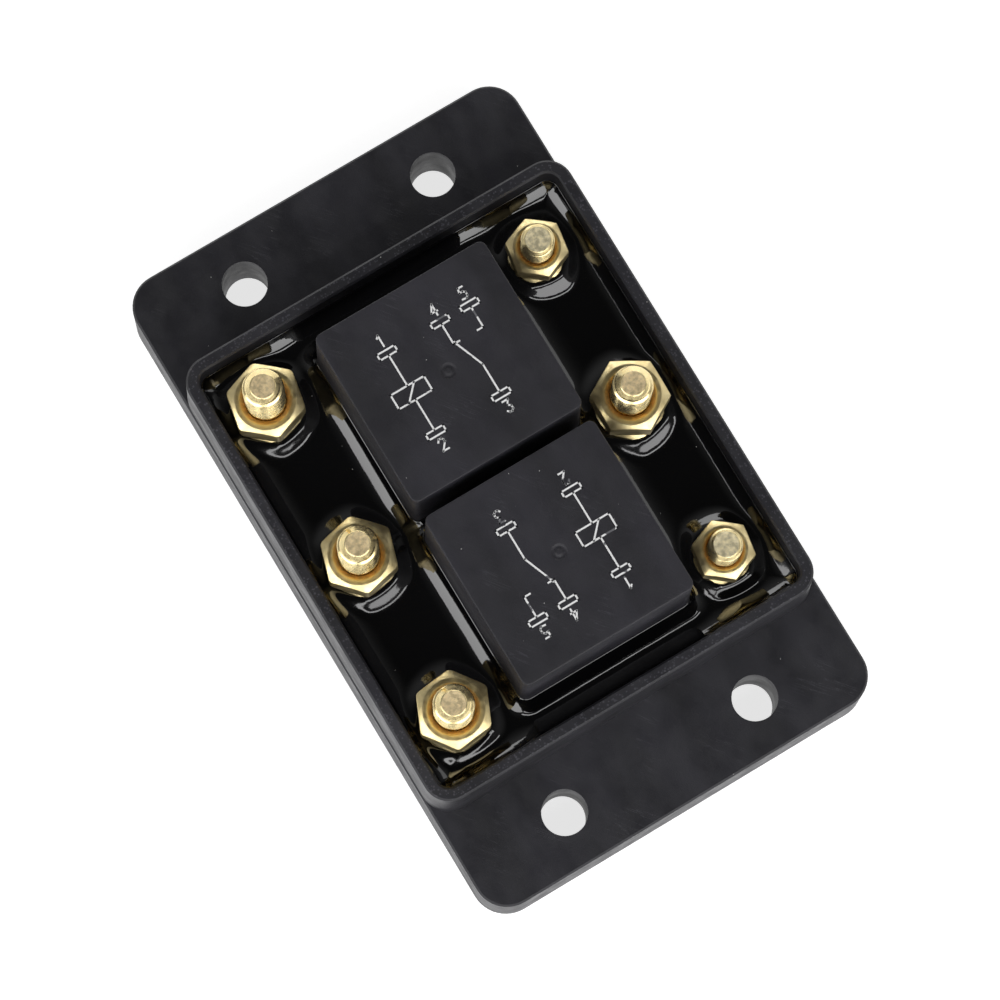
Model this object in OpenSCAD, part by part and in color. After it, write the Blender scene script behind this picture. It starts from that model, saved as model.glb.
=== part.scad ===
// Heavy-duty reversing relay module: a potted tray with two relays and six threaded studs.
// Millimetres. +X across the tray, +Y along it, +Z up. The origin is the centre of the underside.

/* [Housing] */
// Length over both flanges
base_len = 106; // [104:1:120]
// Width of the base
base_wid = 65; // [64:1:74]
// Height of the flanges
flange_h = 11; // [9:0.5:12.5]
// Height of the rim above the underside
rim_h = 22; // [20:0.5:24]
// Length of the tray at the rim
tray_len = 72.8; // [72:0.2:80]
// Thickness of the wall at the rim
wall_t = 1.9; // [1.5:0.1:2.2]
// Narrowing of each side of the tray from the underside to the rim
rim_draft = 0.9; // [0.5:0.1:1.2]
// Narrowing of each side of the flanges from the underside to their tops
flange_draft = 0.25; // [0.1:0.05:0.4]
// Corner radius of the flanges at the underside
flange_corner_r = 5.2; // [3.5:0.1:7]
// Corner radius of the tray at the rim
tray_corner_r = 3.9; // [3.2:0.1:4.5]
// Thickness of the tray's floor
floor_t = 3; // [2:0.1:3.2]

/* [Mounting holes] */
// Diameter of the mounting holes
hole_d = 6.7; // [5:0.1:8]
// Distance between the holes across the flange
hole_pitch_x = 31.8; // [26:0.1:40]
// Distance from each hole to the end of its flange
hole_inset = 8.2; // [7:0.1:9]

/* [Potting compound] */
// Height of its level surface above the underside
fill_z = 15.6; // [15:0.1:16.2]
// How far the compound climbs at the walls and covers
climb_h = 2.1; // [1:0.1:2.6]
// How far out from a wall or a cover the climbing begins
climb_reach = 2.6; // [1.5:0.1:3]

/* [Relays] */
// Height of a relay cover
relay_h = 22.2; // [22:0.1:24]
// Gap between the two relays at the board
relay_gap = 1.6; // [1.2:0.1:2.4]
// Space from the relays to the tray's wall in the large column
left_lane = 16.2; // [15.8:0.1:16.6]
// Space from the relays to the tray's wall in the other column
right_lane = 15; // [14.8:0.1:15.4]
// Space from the relays to the tray's end walls
end_lane = 5.5; // [4.6:0.1:6]
// Angle that an armature turns through
armature_swing = 3.5; // [3:0.1:3.5]

/* [Studs and nuts] */
// Length of the large studs below the head
large_stud_len = 25; // [24:0.5:30]
// Length of the small studs below the head
small_stud_len = 18; // [16:0.5:20]
// Distance of the large column from the tray's wall
left_margin = 7; // [6.8:0.05:7.6]
// Distance of the other column from the tray's wall
right_margin = 7.85; // [7.2:0.05:8]
// Distance of the large column's outer studs from the tray's end walls, less the offset
left_end_margin = 8.6; // [8:0.1:10]
// Distance of the other column's outer studs from the tray's end walls, less the offset
right_end_margin = 9; // [8:0.1:10]
// Offset of the large column along the tray
left_offset = 0.5; // [-0.6:0.1:0.6]
// Offset of the other column along the tray
right_offset = 0.2; // [-0.6:0.1:0.6]

/* [Hidden] */
$fn = 64;

// How far a cutting tool runs past the face that it opens
overrun = 0.5;
// Clearance between two pieces that are seated in each other
seat = 0.05;

// Colours, for the preview
black = [0.07, 0.07, 0.08];
glossy_black = [0.02, 0.02, 0.025];
charcoal = [0.12, 0.12, 0.13];
brass = [0.83, 0.66, 0.32];
copper = [0.78, 0.42, 0.24];
iron = [0.55, 0.55, 0.57];
silver = [0.8, 0.8, 0.8];
board_green = [0.1, 0.3, 0.16];
cream = [0.86, 0.82, 0.72];

// Tray
mould_edge = 0.3;
inner_wid = base_wid - 2 * rim_draft - 2 * wall_t;
inner_len = tray_len - 2 * wall_t;
inner_corner_r = tray_corner_r - wall_t;

// Columns of studs
left_column = inner_wid / 2 - left_margin;
right_column = inner_wid / 2 - right_margin;
left_pitch = inner_len / 2 - left_end_margin;
right_pitch = inner_len / 2 - right_end_margin;

// Posts that carry the board, halfway between the studs
post_r = 1.5;
post_margin = 2.2;
post_x = inner_wid / 2 - post_margin;
post_y = left_pitch / 2;

// How much of a lower nut stands clear of the compound
nut_lip = 0.45;

// Mounting holes
hole_y = base_len / 2 - hole_inset;

// Large thread: M6, small thread: M5. The free end has the full radius. Below it, where the nuts' threads bite,
// the shaft is smaller by the bite.
large_r = 2.95;
small_r = 2.45;
bite = 0.2;
bore_gap = 0.04;
large_tip_r = 1.75;
small_tip_r = 1.88;
large_af = 10;
small_af = 8;
large_nut_h = 5;
small_nut_h = 4;
large_head_h = 4;
small_head_h = 3.5;
large_spacer_r = 5;
small_spacer_r = 4;
large_spacer_h = 2.1;
small_spacer_h = 3.4;
large_face_r = 4.4;
small_face_r = 3.4;
nut_chamfer_angle = 28;
large_mouth_r = 3.7;
small_mouth_r = 3;

// Heights of the stack: head, busbar, board, spacer ring, nuts
head_top_z = floor_t + large_head_h;
bus_t = 1.5;
board_t = 1.6;
board_z = head_top_z + bus_t;
board_top = board_z + board_t;
small_head_z = board_z - small_head_h;
large_lower_z = board_top + large_spacer_h;
small_lower_z = board_top + small_spacer_h;
board_gap = 0.5;
board_wid = inner_wid - 2 * board_gap;
board_len = inner_len - 2 * board_gap;
board_corner_r = 1;

// Studs: [x, y, gap under the upper nut, turn of the lower nut, turn of the upper nut]
positive = [-left_column, left_offset, 0.4, 8.7, 12.5];
negative = [right_column, right_offset, 1.6, 15.5, 29.5];
motor_a = [-left_column, left_offset + left_pitch, 0.15, 16, 18.9];
motor_b = [-left_column, left_offset - left_pitch, 2.6, 8.1, 6];
control_a = [right_column, right_offset + right_pitch, 0.5, 47, 21.1];
control_b = [right_column, right_offset - right_pitch, 0.5, 54, 20.9];
large_studs = [positive, negative, motor_a, motor_b];
small_studs = [control_a, control_b];

// Relay cover: its width lies across the tray, its length along it
relay_wid = inner_wid - left_lane - right_lane;
relay_len = (inner_len - relay_gap) / 2 - end_lane;
relay_pitch = relay_len + relay_gap;
relay_x = (left_lane - right_lane) / 2;
cover_wall = 1.1;
cover_draft = 0.3;
cover_corner_r = 1.4;
cover_edge = 0.35;
cover_inner_wid = relay_wid - 2 * cover_draft - 2 * cover_wall;
cover_inner_len = relay_len - 2 * cover_draft - 2 * cover_wall;
cover_inner_corner_r = 0.6;
dimple_r = 1.1;
dimple_depth = 0.25;
dimple_nub_r = 0.4;

// Relay works, in the relay's own frame: x from the hinge to the contacts, z = 0 on the board.
// They fill the cover's inside: each place is a distance from the cover's inner wall or from its neighbour.
works_end = cover_inner_len / 2;
works_side = cover_inner_wid / 2;
relay_base_t = 2.4;
sheet = 1.6;
seam = 0.1;

// Coil terminals, and the widths of the works between them
coil_pin_margin = 2.7;
coil_pin_y = works_side - coil_pin_margin;
coil_pin_x = 2;
coil_pin_r = 0.6;
works_share = 1.2;
blade_share = 0.7;
works_wid = works_share * coil_pin_y;
blade_wid = blade_share * coil_pin_y;

// Fixed contacts
strip_t = 0.6;
strip_margin = 1.2;
strip_x = works_end - strip_margin;
strip_wid = 3;
strip_y = 4;
contact_inset = 1.3;
contact_x = strip_x - contact_inset;
fixed_rivet_r = 1.5;
fixed_rivet_h = 0.4;
shelf_reach = 1.7;
shelf_start = contact_x - shelf_reach;
shelf_over = 1.7;

// Yoke and hinge
yoke_margin = 2.5;
yoke_x = yoke_margin - works_end;
works_headroom = 6.5;
yoke_top = relay_h - works_headroom;
hinge_x = yoke_x + sheet / 2;
hinge_z = yoke_top + seam;

// Bobbin and core, between the yoke and the fixed contacts
back_share = 0.14;
front_gap = 0.3;
bobbin_back = yoke_x + sheet + back_share * (shelf_start - yoke_x - sheet);
bobbin_front = shelf_start - front_gap;
core_x = (bobbin_front + bobbin_back) / 2;
bobbin_flange_r = min((bobbin_front - bobbin_back) / 2, works_side - front_gap);
bobbin_flange_t = 0.8;
bobbin_wall_share = 0.11;
winding_share = 0.945;
bobbin_wall = bobbin_wall_share * bobbin_flange_r;
coil_r = winding_share * bobbin_flange_r;
core_share = 0.42;
rivet_share = 0.28;
pole_share = 0.61;
core_r = core_share * bobbin_flange_r;
core_rivet_r = rivet_share * bobbin_flange_r;
pole_r = pole_share * bobbin_flange_r;
pole_t = 0.8;
yoke_over = 4.5;
yoke_end = core_x + yoke_over;
bobbin_z = relay_base_t + sheet;
coil_pin_top = bobbin_z - 2 * seat;
bobbin_top = yoke_top - pole_t;

// Armature, blade and moving contact
armature_t = 1.5;
armature_gap = 1;
armature_end = shelf_start - armature_gap;
tail_gap = 0.3;
armature_tail = tail_gap - works_end;
blade_t = 0.3;
blade_back = 1.9;
blade_start = hinge_x + blade_back;
blade_gap = 0.4;
blade_end = strip_x - blade_gap;
moving_rivet_r = 1.5;
moving_rivet_z = 0.7;
moving_rivet_h = 1.9;
open_face_z = hinge_z + moving_rivet_z - seat;
closed_face_z = hinge_z + (contact_x - hinge_x + moving_rivet_r) * sin(armature_swing)
    + (moving_rivet_z + moving_rivet_h) * cos(armature_swing) + seat;

// Terminals
pin_over = 0.6;
pin_len = board_t + bus_t + pin_over;
pin_t = 0.8;
pin_wid = 2;
common_wid = 3.2;
hole_gap = 0.2;

// Return spring
spring_margin = 1.1;
spring_x = spring_margin - works_end;
spring_r = 0.85;
spring_bore_r = 0.45;
lug_margin = 0.1;
lug_end = lug_margin - works_end;
lug_z = 8;
lug_t = 0.8;
lug_wid = 2.4;

function corner_radius(af) = af / 2 / cos(30);

// A block with vertical corners rounded by r
module rounded_block(size, r) {
    linear_extrude(size.z) {
        square([size.x - 2 * r, size.y], center = true);
        square([size.x, size.y - 2 * r], center = true);
        for (sx = [-1, 1], sy = [-1, 1])
            translate([sx * (size.x / 2 - r), sy * (size.y / 2 - r)])
                circle(r);
    }
}

// The same block, drawn in by inset on every side at its top: flat sides and cone corners that meet smoothly
module drafted_block(size, r, inset) {
    flat_x = size.x / 2 - r;
    flat_y = size.y / 2 - r;
    rotate([90, 0, 0])
        linear_extrude(2 * flat_y, center = true)
            polygon([
                [-size.x / 2, 0], [size.x / 2, 0],
                [size.x / 2 - inset, size.z], [inset - size.x / 2, size.z]
            ]);
    rotate([90, 0, 90])
        linear_extrude(2 * flat_x, center = true)
            polygon([
                [-size.y / 2, 0], [size.y / 2, 0],
                [size.y / 2 - inset, size.z], [inset - size.y / 2, size.z]
            ]);
    for (sx = [-1, 1], sy = [-1, 1])
        translate([sx * flat_x, sy * flat_y, 0])
            cylinder(size.z, r, r - inset);
}

// A drafted block with its top edge broken
module moulded_block(size, r, inset, edge) {
    drafted_block([size.x, size.y, size.z - edge], r, inset);
    translate([0, 0, size.z - edge])
        drafted_block([size.x - 2 * inset, size.y - 2 * inset, edge], r - inset, edge);
}

module at(stud) {
    translate([stud.x, stud.y, 0])
        children();
}

// Housing

module housing() {
    color(black) {
        difference() {
            union() {
                moulded_block([base_wid, base_len, flange_h], flange_corner_r, flange_draft, mould_edge);
                moulded_block(
                    [base_wid, tray_len + 2 * rim_draft, rim_h],
                    tray_corner_r + rim_draft, rim_draft, mould_edge
                );
            }
            translate([0, 0, floor_t])
                rounded_block([inner_wid, inner_len, rim_h], inner_corner_r);
            translate([0, 0, rim_h + overrun])
                mirror([0, 0, 1])
                    drafted_block(
                        [inner_wid + 2 * (mould_edge + overrun), inner_len + 2 * (mould_edge + overrun),
                            mould_edge + overrun],
                        inner_corner_r + mould_edge + overrun, mould_edge + overrun
                    );
            for (x = [-1, 1], y = [-1, 1])
                translate([x * hole_pitch_x / 2, y * hole_y, -overrun])
                    cylinder(flange_h + 2 * overrun, hole_d / 2, hole_d / 2);
        }
        for (x = [-1, 1], y = [-1, 1])
            translate([x * post_x, y * post_y, floor_t - overrun])
                cylinder(board_z - floor_t + overrun, post_r, post_r);
    }
}

// Potting compound: the filling that climbs at the walls, and a skirt round every piece that stands in it

// Everything inside the tray's walls up to the height top
module filling(top) {
    translate([0, 0, floor_t])
        rounded_block([inner_wid - 2 * seat, inner_len - 2 * seat, top - floor_t], inner_corner_r - seat);
}

module wall_climb() {
    cut_h = climb_h + overrun;
    cut_reach = climb_reach * cut_h / climb_h;
    over = 2 * (cut_reach - climb_reach);
    difference() {
        filling(fill_z + climb_h);
        translate([0, 0, fill_z + cut_h])
            mirror([0, 0, 1])
                drafted_block([inner_wid + over, inner_len + over, cut_h], inner_corner_r + cut_reach, cut_reach);
    }
}

module nut_skirt(af, top) {
    sunk = top - fill_z + overrun;
    slope = (climb_reach - seat) / (top - fill_z);
    translate([0, 0, fill_z - overrun])
        cylinder(sunk, corner_radius(af) + seat + slope * sunk, corner_radius(af) + seat);
}

module relay_skirt() {
    sunk = climb_h + overrun;
    reach = climb_reach * sunk / climb_h;
    translate([0, 0, fill_z - overrun])
        drafted_block([relay_wid + 2 * reach, relay_len + 2 * reach, sunk], cover_corner_r + reach, reach);
}

module embedded() {
    translate([0, 0, board_z - seat])
        rounded_block([board_wid + 2 * seat, board_len + 2 * seat, board_t + 2 * seat], board_corner_r + seat);
    busbar_shape("positive", seat);
    busbar_shape("negative", seat);
    busbar_shape("motor_a", seat);
    busbar_shape("motor_b", seat);
    for (s = large_studs)
        at(s) {
            translate([0, 0, floor_t - overrun])
                rotate(s[3])
                    cylinder(large_head_h + overrun + seat, corner_radius(large_af + 2 * seat),
                        corner_radius(large_af + 2 * seat), $fn = 6);
            translate([0, 0, head_top_z])
                cylinder(large_stud_len, large_r - bite + seat, large_r - bite + seat);
            translate([0, 0, board_top])
                cylinder(large_spacer_h + seat, large_spacer_r + seat, large_spacer_r + seat);
            translate([0, 0, large_lower_z])
                rotate(s[3])
                    cylinder(rim_h, corner_radius(large_af + 2 * seat), corner_radius(large_af + 2 * seat), $fn = 6);
        }
    for (s = small_studs)
        at(s) {
            translate([0, 0, small_head_z - seat])
                rotate(s[3])
                    cylinder(small_head_h + 2 * seat, corner_radius(small_af + 2 * seat),
                        corner_radius(small_af + 2 * seat), $fn = 6);
            translate([0, 0, board_top])
                cylinder(small_spacer_h + seat, small_spacer_r + seat, small_spacer_r + seat);
            translate([0, 0, small_lower_z])
                rotate(s[3])
                    cylinder(rim_h, corner_radius(small_af + 2 * seat), corner_radius(small_af + 2 * seat), $fn = 6);
        }
    in_relays() {
        translate([0, 0, -seat])
            drafted_block([relay_len + 2 * seat, relay_wid + 2 * seat, relay_h], cover_corner_r + seat, cover_draft);
        relay_pins(hole_gap);
    }
    for (x = [-1, 1], y = [-1, 1])
        translate([x * post_x, y * post_y, floor_t - overrun])
            cylinder(board_z - floor_t + overrun + seat, post_r + seat, post_r + seat);
}

module potting() {
    color(glossy_black)
        difference() {
            union() {
                wall_climb();
                intersection() {
                    union() {
                        for (s = large_studs)
                            at(s) nut_skirt(large_af, large_lower_z + large_nut_h - nut_lip);
                        for (s = small_studs)
                            at(s) nut_skirt(small_af, small_lower_z + small_nut_h - nut_lip);
                        for (end = [-1, 1])
                            translate([relay_x, end * relay_pitch / 2, 0])
                                relay_skirt();
                    }
                    filling(rim_h);
                }
            }
            embedded();
        }
}

// Circuit board and busbars

module circuit_board() {
    color(board_green)
        difference() {
            translate([0, 0, board_z])
                rounded_block([board_wid, board_len, board_t], board_corner_r);
            for (s = large_studs)
                at(s)
                    translate([0, 0, board_z - overrun])
                        cylinder(board_t + 2 * overrun, large_r + hole_gap, large_r + hole_gap);
            for (s = small_studs)
                at(s)
                    translate([0, 0, board_z - overrun])
                        cylinder(board_t + 2 * overrun, small_r + hole_gap, small_r + hole_gap);
            in_relays()
                relay_pins(hole_gap);
        }
}

// Places of the relays' main pins on the board
contact_pin_x = strip_y;
contact_pin_y = relay_pitch / 2 - strip_x - pin_t / 2;
common_pin_y = relay_pitch / 2 - hinge_x;
pad = 1.7;
bus_gap = 0.8;
stud_pad = 6.2;
link_wid = 5;

module plate(low, high) {
    translate([low.x, low.y])
        square([high.x - low.x, high.y - low.y]);
}

module busbar_plan(which) {
    if (which == "positive") {
        translate([positive.x, positive.y])
            circle(stud_pad);
        polygon([
            [-left_column, bus_gap - contact_pin_y + pad],
            [relay_x - contact_pin_x + pad, bus_gap - contact_pin_y + pad],
            [relay_x - contact_pin_x + pad, bus_gap],
            [relay_x + contact_pin_x - pad, -contact_pin_y - pad],
            [relay_x + contact_pin_x + pad, -contact_pin_y - pad],
            [relay_x + contact_pin_x + pad, pad - contact_pin_y],
            [relay_x - contact_pin_x + pad, contact_pin_y],
            [relay_x - contact_pin_x + pad, contact_pin_y + pad],
            [-left_column, contact_pin_y + pad]
        ]);
    }
    if (which == "negative") {
        translate([negative.x, negative.y])
            circle(stud_pad);
        plate([relay_x + contact_pin_x - pad, contact_pin_y - pad + bus_gap],
            [right_column, contact_pin_y + pad]);
        plate([right_column - stud_pad, -contact_pin_y - pad - bus_gap - link_wid],
            [right_column, contact_pin_y]);
        plate([relay_x - contact_pin_x - pad, -contact_pin_y - pad - bus_gap - link_wid],
            [right_column, -contact_pin_y - pad - bus_gap]);
        plate([relay_x - contact_pin_x - pad, -contact_pin_y - pad - bus_gap - overrun],
            [relay_x - contact_pin_x + pad, pad - contact_pin_y]);
    }
    if (which == "motor_a") {
        translate([motor_a.x, motor_a.y])
            circle(stud_pad);
        plate([-left_column, common_pin_y - link_wid / 2], [relay_x + pad + pad, common_pin_y + link_wid / 2]);
    }
    if (which == "motor_b") {
        translate([motor_b.x, motor_b.y])
            circle(stud_pad);
        plate([-left_column, -common_pin_y - link_wid / 2], [relay_x + pad + pad, link_wid / 2 - common_pin_y]);
    }
}

module busbar_shape(which, grow) {
    translate([0, 0, head_top_z - grow])
        linear_extrude(bus_t + 2 * grow)
            busbar_plan(which);
}

module busbar(which, stud) {
    color(copper)
        difference() {
            busbar_shape(which, 0);
            at(stud)
                translate([0, 0, head_top_z - overrun])
                    cylinder(bus_t + 2 * overrun, large_r + hole_gap, large_r + hole_gap);
            in_relays()
                relay_pins(hole_gap);
        }
}

module busbar_positive() busbar("positive", positive);
module busbar_negative() busbar("negative", negative);
module busbar_motor_a() busbar("motor_a", motor_a);
module busbar_motor_b() busbar("motor_b", motor_b);

// Studs: hexagon bolts that stand on their heads

module stud(s, r, tip_r, len, af, head_h, head_z, turn, free_z) {
    tip_h = r - tip_r;
    top = head_z + head_h + len;
    color(brass)
        at(s) {
            translate([0, 0, head_z])
                rotate(turn)
                    cylinder(head_h, corner_radius(af), corner_radius(af), $fn = 6);
            rotate_extrude()
                polygon([
                    [0, head_z + head_h / 2], [r - bite, head_z + head_h / 2], [r - bite, free_z],
                    [r, free_z], [r, top - tip_h], [tip_r, top], [0, top]
                ]);
        }
}

module large_stud(s)
    stud(s, large_r, large_tip_r, large_stud_len, large_af, large_head_h, floor_t, s[3],
        large_lower_z + 2 * large_nut_h + s[2]);

module small_stud(s)
    stud(s, small_r, small_tip_r, small_stud_len, small_af, small_head_h, small_head_z, s[3],
        small_lower_z + 2 * small_nut_h + s[2]);

module stud_positive() large_stud(positive);
module stud_negative() large_stud(negative);
module stud_motor_a() large_stud(motor_a);
module stud_motor_b() large_stud(motor_b);
module stud_control_a() small_stud(control_a);
module stud_control_b() small_stud(control_b);

// Spacer rings between the board and the lower nuts

module spacer_ring(s, r, bore_r, h) {
    at(s)
        translate([0, 0, board_top])
            difference() {
                cylinder(h, r, r);
                translate([0, 0, -overrun])
                    cylinder(h + 2 * overrun, bore_r, bore_r);
            }
}

module spacers_large() {
    color(brass)
        for (s = large_studs)
            spacer_ring(s, large_spacer_r, large_r + hole_gap, large_spacer_h);
}

module spacers_small() {
    color(brass)
        for (s = small_studs)
            spacer_ring(s, small_spacer_r, small_r + hole_gap, small_spacer_h);
}

// Hexagon nuts with chamfered corners and a sunk mouth

module nut(af, h, bore_r, face_r, mouth_r) {
    corner_r = corner_radius(af);
    outer_r = corner_r + mould_edge;
    chamfer = (outer_r - face_r) * tan(nut_chamfer_angle);
    sink = mouth_r - bore_r;
    color(brass)
        difference() {
            intersection() {
                cylinder(h, corner_r, corner_r, $fn = 6);
                rotate_extrude()
                    polygon([
                        [0, 0], [face_r, 0], [outer_r, chamfer],
                        [outer_r, h - chamfer], [face_r, h], [0, h]
                    ]);
            }
            rotate_extrude()
                polygon([
                    [0, -overrun], [mouth_r, -overrun], [mouth_r, 0],
                    [bore_r, sink], [bore_r, h - sink],
                    [mouth_r, h], [mouth_r, h + overrun], [0, h + overrun]
                ]);
        }
}

module large_nut(s, z, turn, bore_r)
    at(s)
        translate([0, 0, z])
            rotate(turn)
                nut(large_af, large_nut_h, bore_r, large_face_r, large_mouth_r);

module small_nut(s, z, turn, bore_r)
    at(s)
        translate([0, 0, z])
            rotate(turn)
                nut(small_af, small_nut_h, bore_r, small_face_r, small_mouth_r);

// A lower nut fits the shaft that it bites; an upper nut clears the free end that it slides over
module large_lower_nut(s) large_nut(s, large_lower_z, s[3], large_r - bite + bore_gap);
module small_lower_nut(s) small_nut(s, small_lower_z, s[3], small_r - bite + bore_gap);
module large_upper_nut(s) large_nut(s, large_lower_z + large_nut_h + s[2], s[4], large_r + bore_gap);
module small_upper_nut(s) small_nut(s, small_lower_z + small_nut_h + s[2], s[4], small_r + bore_gap);

module lower_nut_positive() large_lower_nut(positive);
module lower_nut_negative() large_lower_nut(negative);
module lower_nut_motor_a() large_lower_nut(motor_a);
module lower_nut_motor_b() large_lower_nut(motor_b);
module lower_nut_control_a() small_lower_nut(control_a);
module lower_nut_control_b() small_lower_nut(control_b);
module upper_nut_positive() large_upper_nut(positive);
module upper_nut_negative() large_upper_nut(negative);
module upper_nut_motor_a() large_upper_nut(motor_a);
module upper_nut_motor_b() large_upper_nut(motor_b);
module upper_nut_control_a() small_upper_nut(control_a);
module upper_nut_control_b() small_upper_nut(control_b);

// Relays. Relay a is the one at the +Y end; relay b is turned by half a turn.

module in_relay_a()
    translate([relay_x, relay_pitch / 2, board_top])
        rotate(-90)
            children();

module in_relay_b()
    translate([relay_x, -relay_pitch / 2, board_top])
        rotate(90)
            children();

module in_relays() {
    in_relay_a() children();
    in_relay_b() children();
}

module pin_block(x, y, size_x, size_y, low, high, grow) {
    translate([x - size_x / 2 - grow, y - size_y / 2 - grow, low])
        cube([size_x + 2 * grow, size_y + 2 * grow, high - low]);
}

// The parts of the terminals that pass through the base, the board and the busbars
module relay_pins(grow) {
    for (y = [-1, 1])
        pin_block(strip_x + pin_t / 2, y * strip_y, pin_t, pin_wid, -pin_len - grow, relay_base_t, grow);
    pin_block(hinge_x, 0, pin_t, common_wid, -pin_len - grow, relay_base_t, grow);
    for (y = [-1, 1])
        translate([coil_pin_x, y * coil_pin_y, -pin_len - grow])
            cylinder(pin_len + relay_base_t + grow, coil_pin_r + grow, coil_pin_r + grow);
}

module relay_cover() {
    color(charcoal)
        difference() {
            moulded_block([relay_len, relay_wid, relay_h], cover_corner_r, cover_draft, cover_edge);
            translate([0, 0, -overrun])
                rounded_block(
                    [cover_inner_len, cover_inner_wid, relay_h - cover_wall + overrun], cover_inner_corner_r
                );
            translate([0, 0, relay_h - dimple_depth])
                difference() {
                    cylinder(dimple_depth + overrun, dimple_r, dimple_r);
                    cylinder(dimple_depth, dimple_nub_r, dimple_nub_r);
                }
        }
}

module relay_base() {
    color(black)
        difference() {
            rounded_block(
                [cover_inner_len - 2 * seat, cover_inner_wid - 2 * seat, relay_base_t], cover_inner_corner_r
            );
            translate([0, 0, overrun])
                relay_pins(seat);
        }
}

module relay_bobbin() {
    color(cream)
        translate([core_x, 0, bobbin_z])
            difference() {
                union() {
                    cylinder(bobbin_top - bobbin_z, core_r + seat + bobbin_wall, core_r + seat + bobbin_wall);
                    cylinder(bobbin_flange_t, bobbin_flange_r, bobbin_flange_r);
                    translate([0, 0, bobbin_top - bobbin_z - bobbin_flange_t])
                        cylinder(bobbin_flange_t, bobbin_flange_r, bobbin_flange_r);
                }
                translate([0, 0, -overrun])
                    cylinder(bobbin_top - bobbin_z + 2 * overrun, core_r + seat, core_r + seat);
            }
}

module relay_coil() {
    wind_h = bobbin_top - bobbin_z - 2 * bobbin_flange_t - 2 * seat;
    color(copper)
        translate([core_x, 0, bobbin_z + bobbin_flange_t + seat])
            difference() {
                cylinder(wind_h, coil_r, coil_r);
                translate([0, 0, -overrun])
                    cylinder(wind_h + 2 * overrun, core_r + bobbin_wall + 2 * seat, core_r + bobbin_wall + 2 * seat);
            }
}

module relay_core() {
    color(iron)
        translate([core_x, 0, 0]) {
            translate([0, 0, relay_base_t])
                cylinder(sheet, core_rivet_r, core_rivet_r);
            translate([0, 0, bobbin_z])
                cylinder(bobbin_top - bobbin_z, core_r, core_r);
            translate([0, 0, bobbin_top])
                cylinder(pole_t, pole_r, pole_r);
        }
}

module relay_yoke() {
    color(iron)
        difference() {
            union() {
                translate([yoke_x, -works_wid / 2, relay_base_t])
                    cube([yoke_end - yoke_x, works_wid, sheet]);
                translate([yoke_x, -works_wid / 2, relay_base_t])
                    cube([sheet, works_wid, yoke_top - relay_base_t]);
                translate([lug_end, -lug_wid / 2, lug_z])
                    cube([yoke_x - lug_end + seat, lug_wid, lug_t]);
            }
            translate([core_x, 0, relay_base_t - overrun])
                cylinder(sheet + 2 * overrun, core_rivet_r + seat, core_rivet_r + seat);
        }
}

// The armature at rest is tilted up at the contacts' end by the swing
module at_rest() {
    translate([hinge_x, 0, hinge_z])
        rotate([0, -armature_swing, 0])
            children();
}

module relay_armature() {
    color(iron)
        at_rest()
            union() {
                translate([yoke_x - hinge_x, -works_wid / 2, 0])
                    cube([armature_end - yoke_x, works_wid, armature_t]);
                translate([armature_tail - hinge_x, -lug_wid / 2, 0])
                    cube([yoke_x - armature_tail + seat, lug_wid, armature_t]);
            }
}

module relay_moving_contact() {
    color(copper)
        at_rest() {
            translate([blade_start - hinge_x, -blade_wid / 2, armature_t])
                cube([blade_end - blade_start, blade_wid, blade_t]);
            translate([contact_x - hinge_x, 0, moving_rivet_z])
                cylinder(moving_rivet_h, moving_rivet_r, moving_rivet_r);
        }
}

// A fixed contact: a strip that rises from its pin and bends over, with a rivet under or on the bent end
module fixed_contact(side, shelf_z, rivet_z) {
    low_y = side > 0 ? -shelf_over : -strip_y - strip_wid / 2;
    color(copper) {
        pin_block(strip_x + pin_t / 2, side * strip_y, pin_t, pin_wid, -pin_len, relay_base_t + seat, 0);
        translate([strip_x, side * strip_y - strip_wid / 2, relay_base_t + seat])
            cube([pin_t, strip_wid, shelf_z - relay_base_t]);
        translate([shelf_start, low_y, shelf_z])
            cube([strip_x + pin_t - shelf_start, strip_y + strip_wid / 2 + shelf_over, strip_t]);
        translate([contact_x, 0, rivet_z])
            cylinder(fixed_rivet_h, fixed_rivet_r, fixed_rivet_r);
    }
}

module relay_open_contact()
    fixed_contact(-1, open_face_z - fixed_rivet_h - strip_t, open_face_z - fixed_rivet_h);

module relay_closed_contact()
    fixed_contact(1, closed_face_z + fixed_rivet_h, closed_face_z);

module relay_spring() {
    low = lug_z + lug_t;
    high = hinge_z - (hinge_x - spring_x + spring_r) * sin(armature_swing) - seat;
    color(silver)
        translate([spring_x, 0, low])
            difference() {
                cylinder(high - low, spring_r, spring_r);
                translate([0, 0, -overrun])
                    cylinder(high - low + 2 * overrun, spring_bore_r, spring_bore_r);
            }
}

module relay_common_terminal() {
    color(copper)
        pin_block(hinge_x, 0, pin_t, common_wid, -pin_len, relay_base_t, 0);
}

module relay_coil_terminal(side) {
    color(copper)
        translate([coil_pin_x, side * coil_pin_y, -pin_len])
            cylinder(pin_len + coil_pin_top, coil_pin_r, coil_pin_r);
}

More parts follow.
